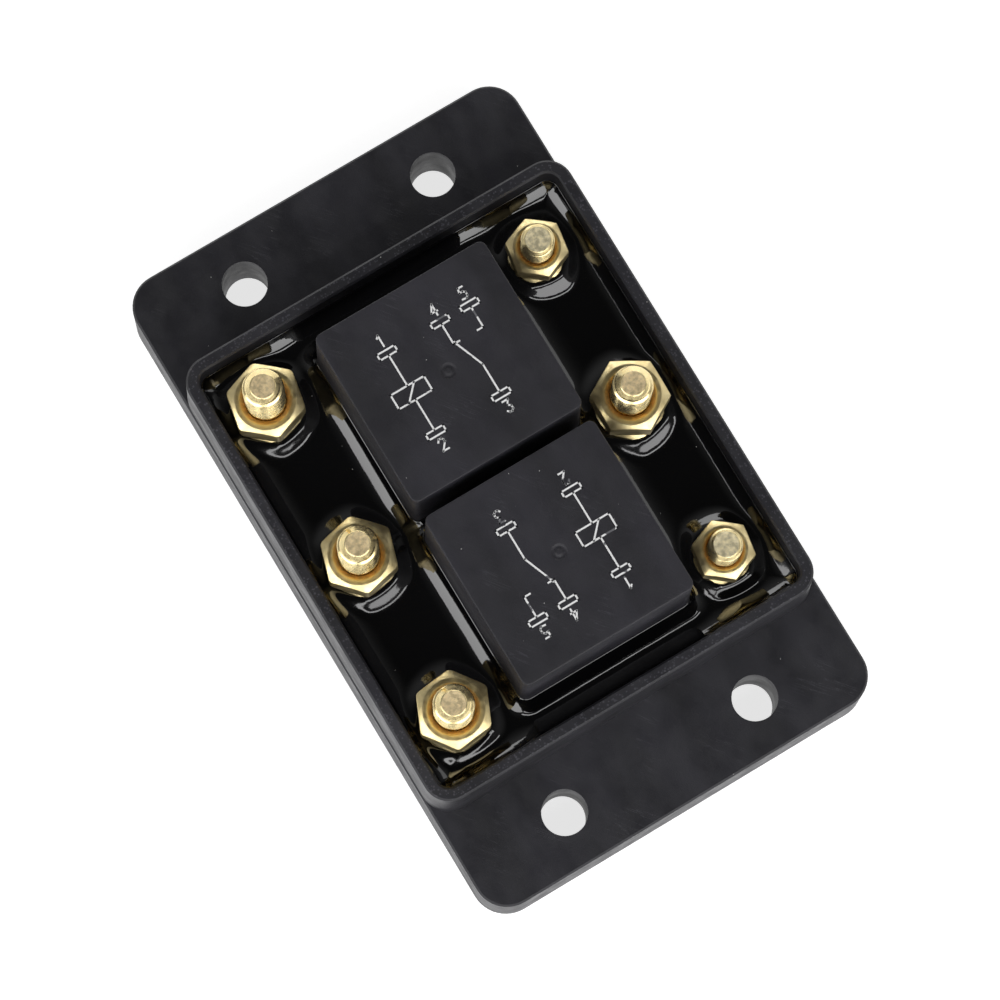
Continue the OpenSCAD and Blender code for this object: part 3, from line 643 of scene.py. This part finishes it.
def dense_line(low, high, step, kept, fine_step, fine_reach):
    """Positions from low to high, a step apart, closer together within a reach of each kept position, which
    are positions themselves. The spacing is worked out by adding up a density and reading it back evenly."""
    samples = 4000
    fine_until = 0.5
    probe = np.linspace(low, high, samples)
    away = np.min(np.abs(probe[:, None] - np.array(kept)[None, :]), axis=1)
    spacing = fine_step + (step - fine_step) * np.clip(away / fine_reach - fine_until, 0, 1)
    total = np.concatenate([[0], np.cumsum(np.diff(probe) / spacing[1:])])
    count = int(total[-1]) + 1
    line = np.interp(np.linspace(0, total[-1], count), total, probe)
    for position in kept:
        line[np.abs(line - position).argmin()] = position
    return np.unique(line)


def rectangle_distance(x, y, centre, half_x, half_y, radius):
    """Distance outside a rectangle with round corners; negative inside."""
    dx = np.abs(x - centre[0]) - (half_x - radius)
    dy = np.abs(y - centre[1]) - (half_y - radius)
    outside = np.hypot(np.maximum(dx, 0), np.maximum(dy, 0))
    return outside + np.minimum(np.maximum(dx, dy), 0) - radius


def hexagon_distance(x, y, centre, turn, apothem):
    """Distance outside a hexagon; negative inside. The point is first folded into a sixth of the hexagon."""
    dx = x - centre[0]
    dy = y - centre[1]
    angle = (np.arctan2(dy, dx) - turn) % HEX_STEP - HEX_HALF
    radius = np.hypot(dx, dy)
    along = radius * np.cos(angle) - apothem
    across = np.abs(radius * np.sin(angle)) - apothem * math.tan(HEX_HALF)
    return np.where(across > 0, np.hypot(np.maximum(along, 0), across), along)


def compound_surface(shape):
    """The poured compound. Its height is the level plus, at each wall, cover and nut, a climb. At a wall or
    cover the climb falls off as e to the minus distance over reach, and at a nut as e to the minus square of
    distance over the mound's reach. The climbs are joined by the root of their added squares, and slow waves
    fade where the surface climbs."""
    corner = 1.95 * MM
    cover_lap = 0.6 * MM
    fine_share, fine_reach = 0.45, 2 * MM
    flat_share, round_share = 0.35, 0.65
    wave_x, wave_y, wave_slanted = 5.3 * MM, 6.7 * MM, 9.1 * MM
    wave_shift, wave_slant, slanted_share = 1.2, 1.7, 0.6
    low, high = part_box("potting")
    middle = node_centre("potting")
    half_x = (high[0] - low[0]) / 2
    half_y = (high[1] - low[1]) / 2
    level = high[2] - shape.climb
    covers = []
    for relay in RELAYS:
        cover = "relay_%s_cover" % relay
        near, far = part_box(cover)
        covers.append((node_centre(cover), (far[0] - near[0]) / 2, (far[1] - near[1]) / 2))
    edges_x = [c[0] + s * hx for c, hx, _ in covers for s in (-1, 1)]
    edges_y = [c[1] + s * hy for c, _, hy in covers for s in (-1, 1)]
    step = shape.mesh_step
    fine = step * fine_share
    x_line = dense_line(low[0], high[0], step, sorted(set(edges_x)) + [low[0], high[0]], fine, fine_reach)
    y_line = dense_line(low[1], high[1], step, edges_y + [low[1], high[1]], fine, fine_reach)
    x, y = np.meshgrid(x_line, y_line)
    past = np.maximum(np.abs(y - middle[1]) - (half_y - corner), 0)
    width = half_x - corner + np.sqrt(np.maximum(corner ** 2 - past ** 2, 0))
    x = middle[0] + (x - middle[0]) * width / half_x
    wall = np.maximum(-rectangle_distance(x, y, middle, half_x, half_y, corner), 0)
    squares = (shape.climb * np.exp(-wall / shape.reach)) ** 2
    inside = np.full(x.shape, np.inf)
    for centre, hx, hy in covers:
        away = rectangle_distance(x, y, centre, hx, hy, COVER_CORNER)
        inside = np.minimum(inside, away)
        squares += (shape.climb * np.exp(-np.maximum(away, 0) / shape.reach)) ** 2
    for name in LARGE + SMALL:
        node = "lower_nut_" + name
        centre = node_centre(node)
        turn, flats = hexagon_facts(node, centre)
        away = hexagon_distance(x, y, centre, turn, flats / 2)
        round_away = np.hypot(x - centre[0], y - centre[1]) - flats / 2
        away = np.where(away > 0, flat_share * away + round_share * round_away, 0)
        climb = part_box(node)[1][2] - shape.nut_lip - level
        squares += (climb * np.exp(-(away / shape.mound) ** 2)) ** 2
    climbed = np.minimum(np.sqrt(squares), high[2] - level)
    wave = np.sin(x / wave_x + wave_shift) * np.cos(y / wave_y)
    wave = wave + slanted_share * np.sin((x + wave_slant * y) / wave_slanted)
    z = level + climbed + shape.ripple * wave * (1 - climbed / (high[2] - level))
    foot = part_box("relay_a_cover")[0][2]
    z = np.where(inside < -cover_lap, foot, z)
    z = np.minimum(z, high[2])
    rows, columns = x.shape
    corners = np.stack([x, y, z], axis=-1).reshape(-1, 3)
    i = np.arange(rows - 1)[:, None]
    j = np.arange(columns - 1)[None, :]
    start = i * columns + j
    quads = np.stack([start, start + 1, start + columns + 1, start + columns], axis=-1).reshape(-1, 4)
    first = np.arange(columns)
    border = np.concatenate([
        first, np.arange(1, rows) * columns + columns - 1,
        (rows - 1) * columns + first[::-1][1:], np.arange(rows - 2, 0, -1) * columns,
    ])
    base = corners[border].copy()
    base[:, 2] = low[2]
    count = len(border)
    lower = len(corners) + np.arange(count)
    after = np.roll(np.arange(count), -1)
    skirt = np.stack([lower, lower[after], border[after], border], axis=-1)
    centre = np.array([[middle[0], middle[1], low[2]]])
    corners = np.concatenate([corners, base, centre])
    triangles = fan(len(corners) - 1, lower, turned=True)
    return new_piece("compound", corners, np.concatenate([quads, skirt]), triangles)


# A stud's cut end: shares of the tip's radius, and how far below the tip each lies
STUD_END = ((0.94, 0.0), (0.85, 0.03 * MM), (0.4, 0.05 * MM), (0.1, 0.04 * MM))


def stud_surface(name, threads, pitch, head_height, tip_share):
    """A hexagon-head stud. Above the head the radius is the thread's crest less its depth times a trimmed
    saw-tooth of height over pitch less angle over a turn, and no more than the cone of the tip. The crests
    are trimmed where a nut's thread bites."""
    head_corner, head_edge, head_rounding = 0.25 * MM, 0.35 * MM, 0.08 * MM
    head_middle = 0.5
    above_nut = 0.2 * MM
    crest_share, flank_share = 0.1, 0.75
    lower_bite, upper_bite = 0.2 * MM, 0.04 * MM
    node = "stud_" + name
    low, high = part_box(node)
    nut_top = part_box("upper_nut_" + name)[1][2]
    centre = node_centre("upper_nut_" + name)
    corners = node_corners(node)
    free = corners[corners[:, 2] > nut_top + above_nut]
    crest = float(np.hypot(free[:, 0] - centre[0], free[:, 1] - centre[1]).max())
    turn, flats = hexagon_facts(node, centre)
    angle, outline = hexagon(flats, turn, head_corner)
    head_top = low[2] + head_height
    head = softened(profile_rows((
        (outline * head_middle, low[2]), (outline - head_edge, low[2]), (outline, low[2] + head_edge),
        (outline, head_top - head_edge), (outline - head_edge, head_top), (crest, head_top),
    ), len(angle)), head_rounding)
    length = high[2] - head_top
    rows = int(length / pitch * threads.rows_per_turn)
    height = np.linspace(head_top, high[2], rows)[1:, None]
    saw = np.abs(2 * ((height / pitch - angle[None, :] / FULL_TURN) % 1) - 1)
    cut = 1 - np.clip((saw - crest_share) / flank_share, 0, 1)
    bitten = np.where(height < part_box("lower_nut_" + name)[1][2], lower_bite, upper_bite)
    trimmed = crest - np.where(height < nut_top, bitten, 0)
    radius = trimmed - threads.depth_share * pitch * cut
    tip = crest * tip_share
    radius = np.minimum(radius, tip + (high[2] - height))
    shaft = np.stack([radius, np.broadcast_to(height, radius.shape)], axis=-1)
    inward = profile_rows([(tip * share, high[2] - drop) for share, drop in STUD_END], len(angle))
    profile = np.concatenate([head, shaft, inward])
    cut_end = np.zeros(profile.shape[:2])
    cut_end[-len(inward):] = 1
    piece = closed_sweep("threaded_" + node, around(centre, angle, profile), {"cut_end": cut_end})
    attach(piece, BODY)
    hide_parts(node)
    return piece


def nut_surface(node, body, face, mouth, corner, shape):
    """A hexagon nut: a closed loop of profile carried round. Its outer radius is the hexagon's, and each
    round face falls away to the sides at the chamfer angle, so that the corners are cut lower than the
    flats."""
    sunk_fade = 0.25 * MM
    low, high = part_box(node)
    centre = node_centre(node)
    turn, flats = hexagon_facts(node, centre)
    angle, outline = hexagon(flats, turn, corner)
    corners = node_corners(node)
    bore = float(np.hypot(corners[:, 0] - centre[0], corners[:, 1] - centre[1]).min())
    drop = (outline - face) * math.tan(shape.chamfer)
    sunk = mouth - bore
    middle = (low[2] + high[2]) / 2
    path = profile_rows((
        (outline, middle), (outline, high[2] - drop), (face, high[2]), (mouth, high[2]),
        (bore, high[2] - sunk), (bore, middle), (bore, low[2] + sunk),
        (mouth, low[2]), (face, low[2]), (outline, low[2] + drop), (outline, middle),
    ), len(angle))
    profile = softened(path, shape.edge, steps=4)[:-1]
    sink = np.clip((mouth - profile[..., 0]) / sunk_fade, 0, 1)
    rows = around(centre, angle, profile)
    piece = new_piece("turned_" + node, rows.reshape(-1, 3), ring_quads(*rows.shape[:2], closed_rows=True),
                      values={"sunk": sink})
    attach(piece, body)
    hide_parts(node)
    return piece


# A cover's top: shares of the way in to the gate mark's rim, then shares of the mark's radius and depth
TOP_SHARES = (0.25, 0.5, 0.75, 0.9, 1.0)
GATE_MARK = ((1.0, 0.15), (0.93, 0.8), (0.85, 1.0), (0.5, 1.0), (0.42, 0.55), (0.3, 0.3), (0.1, 0.25))


def cover_surface(relay, shape, film):
    """A relay cover: a rounded square outline carried from the inner roof down, round the foot, up the
    drafted side, over the rounded edge and in to the gate mark, where the outline turns into a circle."""
    inner_corner, least_corner = 0.6 * MM, 0.2 * MM
    roof_share, rim_share = 0.5, 1.15
    top_margin = 0.5 * MM
    edge_steps = 6
    node = "relay_%s_cover" % relay
    low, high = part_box(node)
    centre = node_centre(node)
    half = (high[0] - low[0]) / 2
    top = high[2] - film
    roof = top - shape.wall
    side = half - shape.draft
    inner = side - shape.wall
    top_corner = shape.corner - shape.draft
    steps = [(inner * roof_share, roof, inner_corner)]
    steps += [(inner, roof, inner_corner), (inner, low[2], inner_corner)]
    steps += [(half, low[2], shape.corner), (half, low[2] + shape.edge, shape.corner)]
    for a in np.linspace(0, math.pi / 2, edge_steps):
        inset = shape.edge * (1 - math.cos(a))
        steps.append((side - inset, top - shape.edge * (1 - math.sin(a)), top_corner - inset))
    steps.append((side - shape.edge - top_margin, top, top_corner - shape.edge))
    rows = []
    for reach, height, radius in steps:
        ring = rounded_outline(reach, reach, max(radius, least_corner))
        rows.append(np.column_stack([ring, np.full(len(ring), height)]))
    outer = rows[-1][:, :2]
    angle = np.arctan2(outer[:, 1], outer[:, 0])
    unit = np.stack([np.cos(angle), np.sin(angle)], axis=-1)
    rim = unit * shape.dimple * rim_share
    for share in TOP_SHARES:
        rows.append(np.column_stack([outer * (1 - share) + rim * share, np.full(len(rim), top)]))
    for radius_share, depth_share in GATE_MARK:
        ring = unit * shape.dimple * radius_share
        rows.append(np.column_stack([ring, np.full(len(ring), top - shape.dimple_depth * depth_share)]))
    grid = np.stack(rows)
    grid[..., 0] += centre[0]
    grid[..., 1] += centre[1]
    piece = closed_sweep("moulded_" + node, grid)
    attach(piece, BODY)
    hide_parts(node)
    return piece


# Digits as paths in a cell one unit wide and two units high
DIGIT_PATHS = {
    1: ((0.25, 1.6), (0.6, 2.0), (0.6, 0.0)),
    2: ((0.0, 1.6), (0.25, 2.0), (0.75, 2.0), (1.0, 1.6), (1.0, 1.25), (0.0, 0.0), (1.0, 0.0)),
    3: ((0.0, 2.0), (1.0, 2.0), (0.45, 1.2), (1.0, 0.85), (1.0, 0.3), (0.7, 0.0), (0.25, 0.0), (0.0, 0.3)),
    4: ((0.75, 0.0), (0.75, 2.0), (0.0, 0.65), (1.05, 0.65)),
    5: ((0.95, 2.0), (0.15, 2.0), (0.05, 1.15), (0.6, 1.25), (1.0, 0.9), (1.0, 0.35), (0.7, 0.0),
        (0.0, 0.05)),
}


def path_lines(points):
    """The strokes from each point of a path to the next."""
    return list(zip(points[:-1], points[1:]))


def digit_lines(number, x, y, height):
    """The strokes of a digit with its lower left corner at x, y."""
    unit = height / 2
    return path_lines([(x + px * unit, y + py * unit) for px, py in DIGIT_PATHS[number]])


def box_lines(x, y, width, height):
    """The four sides of a rectangle round x, y."""
    left, right = x - width / 2, x + width / 2
    lower, upper = y - height / 2, y + height / 2
    return path_lines([(left, lower), (right, lower), (right, upper), (left, upper), (left, lower)])


def symbol_lines(digit):
    """A plain coil and change-over contact with numbered pads, placed from the cover's middle."""
    coil_x, common_x, rest_x, work_x = -6.0 * MM, 4.6 * MM, 2.6 * MM, 7.4 * MM
    pad_y, pad_wid, pad_high = 6.6 * MM, 2.8 * MM, 0.9 * MM
    coil_wid, coil_high = 5.4 * MM, 2.3 * MM
    blade_foot, fixed_y = -1.6 * MM, 2.9 * MM
    blade_tip, contact = 0.2 * MM, 0.9 * MM
    slash_share, digit_left, digit_out = 0.2, 0.25, 1.1
    reach = pad_y - pad_high / 2
    slash = coil_wid * slash_share
    lines = box_lines(coil_x, 0, coil_wid, coil_high)
    lines.append(((coil_x - slash, -coil_high / 2), (coil_x + slash, coil_high / 2)))
    lines += [((coil_x, coil_high / 2), (coil_x, reach)), ((coil_x, -coil_high / 2), (coil_x, -reach))]
    tip = (rest_x + blade_tip, fixed_y + blade_tip)
    lines += path_lines([(common_x, -reach), (common_x, blade_foot), tip])
    for x, side in ((rest_x, 1), (work_x, -1)):
        lines += path_lines([(x, reach), (x, fixed_y), (x + side * contact, fixed_y)])
    pads = ((coil_x, pad_y), (coil_x, -pad_y), (common_x, -pad_y), (rest_x, pad_y), (work_x, pad_y))
    for number, (x, y) in enumerate(pads, 1):
        lines += box_lines(x, y, pad_wid, pad_high)
        outward = math.copysign(digit * digit_out, y)
        lines += digit_lines(number, x - digit * digit_left, y + outward - digit / 2, digit)
    return lines


def print_surface(relay, shape):
    """Printed lines as flat bars: each runs from end to end of its stroke, half a line's width past both."""
    node = "relay_%s_cover" % relay
    centre = node_centre(node)
    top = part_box(node)[1][2]
    ends = np.array(symbol_lines(shape.digit))
    if relay == "b":
        ends = -ends
    ends = ends + np.array(centre[:2])
    along = ends[:, 1] - ends[:, 0]
    along /= np.linalg.norm(along, axis=1, keepdims=True)
    half = shape.line / 2
    side = np.stack([-along[:, 1], along[:, 0]], axis=-1) * half
    start = ends[:, 0] - along * half
    end = ends[:, 1] + along * half
    flat = np.stack([start - side, end - side, end + side, start + side], axis=1)
    lower = np.concatenate([flat, np.full((*flat.shape[:2], 1), top - 2 * shape.film)], axis=-1)
    upper = np.concatenate([flat, np.full((*flat.shape[:2], 1), top)], axis=-1)
    corners = np.concatenate([lower, upper], axis=1).reshape(-1, 3)
    faces = np.array([[3, 2, 1, 0], [4, 5, 6, 7], [0, 1, 5, 4], [1, 2, 6, 5], [2, 3, 7, 6], [3, 0, 4, 7]])
    quads = (np.arange(len(ends))[:, None, None] * 8 + faces[None]).reshape(-1, 4)
    piece = new_piece("printed_symbol_" + relay, corners, quads)
    piece.data.polygons.foreach_set("use_smooth", np.zeros(len(piece.data.polygons), bool))
    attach(piece, BODY)
    return piece


# Operators: one for each piece or group of like pieces

class RELAYMODULE_OT_housing(bpy.types.Operator):
    """Gives the moulded housing its finish"""

    bl_idname = "relaymodule.housing"
    bl_label = "Finish the housing"

    def execute(self, context):
        colors = context.scene.relaymodule_finishes
        rim_depth = 0.1 * MM
        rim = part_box("housing")[1][2]
        material = moulded_material(
            "Moulded black", colors.housing, grain=0.16 * MM, depth=0.02 * MM, rough=(0.42, 0.56),
            dust_share=0.3, scuffed_above=rim - rim_depth)
        paint(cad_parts["housing"], material)
        return {"FINISHED"}


class RELAYMODULE_OT_compound(bpy.types.Operator):
    """Pours the glossy compound round the pieces that stand in it"""

    bl_idname = "relaymodule.compound"
    bl_label = "Pour the compound"

    def execute(self, context):
        shape = context.scene.relaymodule_compound
        piece = compound_surface(shape)
        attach(piece, BODY)
        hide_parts("potting")
        paint(piece, compound_material(shape.color))
        return {"FINISHED"}


class RELAYMODULE_OT_studs(bpy.types.Operator):
    """Makes the threaded studs"""

    bl_idname = "relaymodule.studs"
    bl_label = "Cut the studs"

    def execute(self, context):
        threads = context.scene.relaymodule_threads
        colors = context.scene.relaymodule_finishes
        large = brass_material("Large stud brass", colors, "cut_end", (1.0, 0.82, 0.5), rough=(0.2, 0.32),
                               depth=0.004 * MM, inner_lumps=20.0)
        small = brass_material("Small stud brass", colors, "cut_end", (1.0, 0.9, 0.62), rough=(0.26, 0.38),
                               depth=0.004 * MM, inner_lumps=20.0)
        for names, pitch, head_height, tip_share, material in (
                (LARGE, threads.large_pitch, 4 * MM, 0.6, large),
                (SMALL, threads.small_pitch, 3.5 * MM, 0.77, small)):
            for name in names:
                paint(stud_surface(name, threads, pitch, head_height, tip_share), material)
        return {"FINISHED"}


class RELAYMODULE_OT_nuts(bpy.types.Operator):
    """Makes the lower and upper nuts"""

    bl_idname = "relaymodule.nuts"
    bl_label = "Turn the nuts"

    def execute(self, context):
        shape = context.scene.relaymodule_nuts
        colors = context.scene.relaymodule_finishes
        # The nuts' sunk mouths take a darker orange: painted shade and painted reflection of the brass round
        # them.
        material = brass_material("Nut brass", colors, "sunk", colors.mouth_shade_color, rough=(0.3, 0.45),
                                  depth=0.007 * MM, inner_lumps=1.6)
        for names, face, mouth in ((LARGE, shape.large_face, shape.large_mouth),
                                   (SMALL, shape.small_face, shape.small_mouth)):
            for name in names:
                corner = shape.round_corner if name in SOFT_NUTS else shape.corner
                for node, body in (("lower_nut_" + name, BODY), ("upper_nut_" + name, "upper_nut_" + name)):
                    paint(nut_surface(node, body, face, mouth, corner, shape), material)
        return {"FINISHED"}


class RELAYMODULE_OT_covers(bpy.types.Operator):
    """Makes the relay covers and the symbol printed on them"""

    bl_idname = "relaymodule.covers"
    bl_label = "Mould the covers"

    def execute(self, context):
        shape = context.scene.relaymodule_covers
        ink = context.scene.relaymodule_print
        plastic = moulded_material("Cover plastic", shape.color, grain=0.13 * MM, depth=0.026 * MM,
                                   rough=(0.52, 0.64), dust_share=0.5)
        printed = print_material(ink.color)
        for relay in RELAYS:
            paint(cover_surface(relay, shape, ink.film), plastic)
            paint(print_surface(relay, ink), printed)
        return {"FINISHED"}


class RELAYMODULE_OT_works(bpy.types.Operator):
    """Gives the hidden board, busbars and relay works their finishes"""

    bl_idname = "relaymodule.works"
    bl_label = "Finish the works"

    def execute(self, context):
        colors = context.scene.relaymodule_finishes
        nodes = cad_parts
        copper = plain_metal("Rolled copper", colors.copper, roughness=0.3)
        iron = plain_metal("Plated iron", (0.5, 0.5, 0.5), roughness=0.35)
        spring = plain_metal("Spring wire", (0.6, 0.6, 0.62), roughness=0.25)
        turned = plain_metal("Spacer brass", colors.brass, roughness=0.28)
        wire = winding_material()
        nylon = moulded_material("Bobbin nylon", (0.6, 0.55, 0.44), grain=0.2 * MM, depth=0.01 * MM,
                                 rough=(0.4, 0.5), dust_share=0.0)
        base = moulded_material("Base plastic", colors.housing, grain=0.14 * MM, depth=0.01 * MM,
                                rough=(0.4, 0.5), dust_share=0.0)
        paint(nodes["circuit_board"], board_material())
        finish = {"base": base, "bobbin": nylon, "coil": wire, "core": iron, "yoke": iron, "armature": iron,
                  "spring": spring}
        for node in nodes:
            if node.startswith("busbar"):
                paint(nodes[node], copper)
            if node.startswith("spacers"):
                paint(nodes[node], turned)
            if node.startswith("relay_") and not node.endswith("_cover"):
                paint(nodes[node], finish.get(node[len("relay_a_"):], copper))
        return {"FINISHED"}


# Each lamp's name, place, width and height of its face in metres, and the face's brightness
LAMPS = (
    ("Left softbox", (-0.752, -0.133, 0.585), (1.0, 0.56), 2.9),
    ("Front softbox", (0.027, -0.763, 0.585), (1.0, 0.56), 2.9),
    ("Right softbox", (0.85, 0.0, 0.5), (0.5, 0.45), 0.8),
    ("High strip", (0.02, -0.4, 0.78), (0.8, 0.06), 3.6),
    ("Back softbox", (0.4, 0.75, 0.32), (1.0, 0.3), 2.1),
)
LAMP_AIM = (0.0, 0.0, 0.02)


def area_lamp(name, place, size, level):
    """A soft lamp whose face has a given brightness, aimed at the module."""
    data = bpy.data.lights.new(name, "AREA")
    data.shape = "RECTANGLE"
    data.size, data.size_y = size
    data.energy = level * math.pi * size[0] * size[1]
    lamp = bpy.data.objects.new(name, data)
    toward = np.array(LAMP_AIM) - np.array(place)
    toward = toward / np.linalg.norm(toward)
    lamp.location = place
    lamp.rotation_euler = (math.acos(-toward[2]), 0, math.atan2(-toward[0], toward[1]))
    bpy.context.scene.collection.objects.link(lamp)


def floor_material(color, lift):
    """A pale floor: matt paint that also shows the missing part of white to the camera and in reflections."""
    material, tree, shader = new_material("Pale floor")
    path = add_node(tree, "ShaderNodeLightPath")
    seen = math_node(tree, "MAXIMUM", path.outputs["Is Camera Ray"], path.outputs["Is Glossy Ray"])
    seen = math_node(tree, "MAXIMUM", seen, path.outputs["Is Transmission Ray"])
    set_shader(tree, shader, Base_Color=solid(color), Roughness=0.9, Specular_IOR_Level=0.0,
               Emission_Color=WHITE, Emission_Strength=times(tree, seen, lift))
    return material


class RELAYMODULE_OT_studio(bpy.types.Operator):
    """Sets up the camera, the floor and the lamps"""

    bl_idname = "relaymodule.studio"
    bl_label = "Set up the studio"

    def execute(self, context):
        studio = context.scene.relaymodule_studio
        scene = context.scene
        camera_data = bpy.data.cameras.new("Camera")
        camera_data.sensor_width = 36
        camera_data.lens = studio.lens
        camera_data.clip_start = 0.01
        camera_data.clip_end = 20
        camera = bpy.data.objects.new("Camera", camera_data)
        camera.location = studio.eye
        camera.rotation_euler = studio.turn
        scene.collection.objects.link(camera)
        scene.camera = camera
        half = studio.floor_size / 2
        corners = np.array([(-half, -half, 0), (half, -half, 0), (half, half, 0), (-half, half, 0)])
        floor = new_piece("floor", corners, np.array([[0, 1, 2, 3]]))
        paint(floor, floor_material(studio.floor_color, lift=0.76))
        for name, place, size, level in LAMPS:
            area_lamp(name, place, size, level)
        low_sky, high_sky, top_share = 0.3, 0.95, 0.08
        world = scene.world or bpy.data.worlds.new("World")
        scene.world = world
        world.use_nodes = True
        tree = world.node_tree
        back = next(n for n in tree.nodes if n.type == "BACKGROUND")
        sky = add_node(tree, "ShaderNodeTexCoord").outputs["Generated"]
        up = add_node(tree, "ShaderNodeSeparateXYZ", Vector=sky).outputs["Z"]
        level = spread(tree, up, low_sky, high_sky, studio.world_level, studio.world_level * top_share)
        set_shader(tree, back, Color=WHITE, Strength=level)
        scene.view_settings.view_transform = "Standard"
        return {"FINISHED"}


class RELAYMODULE_PT_panel(bpy.types.Panel):
    """Lists the steps that dress the relay module"""

    bl_idname = "RELAYMODULE_PT_panel"
    bl_label = "Relay module"
    bl_space_type = "VIEW_3D"
    bl_region_type = "UI"
    bl_category = "Relay module"

    def draw(self, context):
        for operator in OPERATORS:
            self.layout.operator(operator.bl_idname)


GROUPS = {
    "relaymodule_compound": CompoundShape,
    "relaymodule_threads": ThreadShape,
    "relaymodule_nuts": NutShape,
    "relaymodule_covers": CoverShape,
    "relaymodule_print": PrintShape,
    "relaymodule_finishes": Finishes,
    "relaymodule_studio": Studio,
}
OPERATORS = (
    RELAYMODULE_OT_housing,
    RELAYMODULE_OT_compound,
    RELAYMODULE_OT_studs,
    RELAYMODULE_OT_nuts,
    RELAYMODULE_OT_covers,
    RELAYMODULE_OT_works,
    RELAYMODULE_OT_studio,
)


def register():
    """Registers the settings, operators and panel."""
    for label, group in GROUPS.items():
        bpy.utils.register_class(group)
        setattr(bpy.types.Scene, label, bpy.props.PointerProperty(type=group))
    for item in (*OPERATORS, RELAYMODULE_PT_panel):
        bpy.utils.register_class(item)


def unregister():
    """Takes the settings, operators and panel away."""
    for item in reversed((*OPERATORS, RELAYMODULE_PT_panel)):
        bpy.utils.unregister_class(item)
    for label, group in reversed(list(GROUPS.items())):
        delattr(bpy.types.Scene, label)
        bpy.utils.unregister_class(group)


def main():
    """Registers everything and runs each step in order."""
    register()
    bpy.ops.relaymodule.housing()
    bpy.ops.relaymodule.compound()
    bpy.ops.relaymodule.studs()
    bpy.ops.relaymodule.nuts()
    bpy.ops.relaymodule.covers()
    bpy.ops.relaymodule.works()
    bpy.ops.relaymodule.studio()


if __name__ == "__main__":
    main()
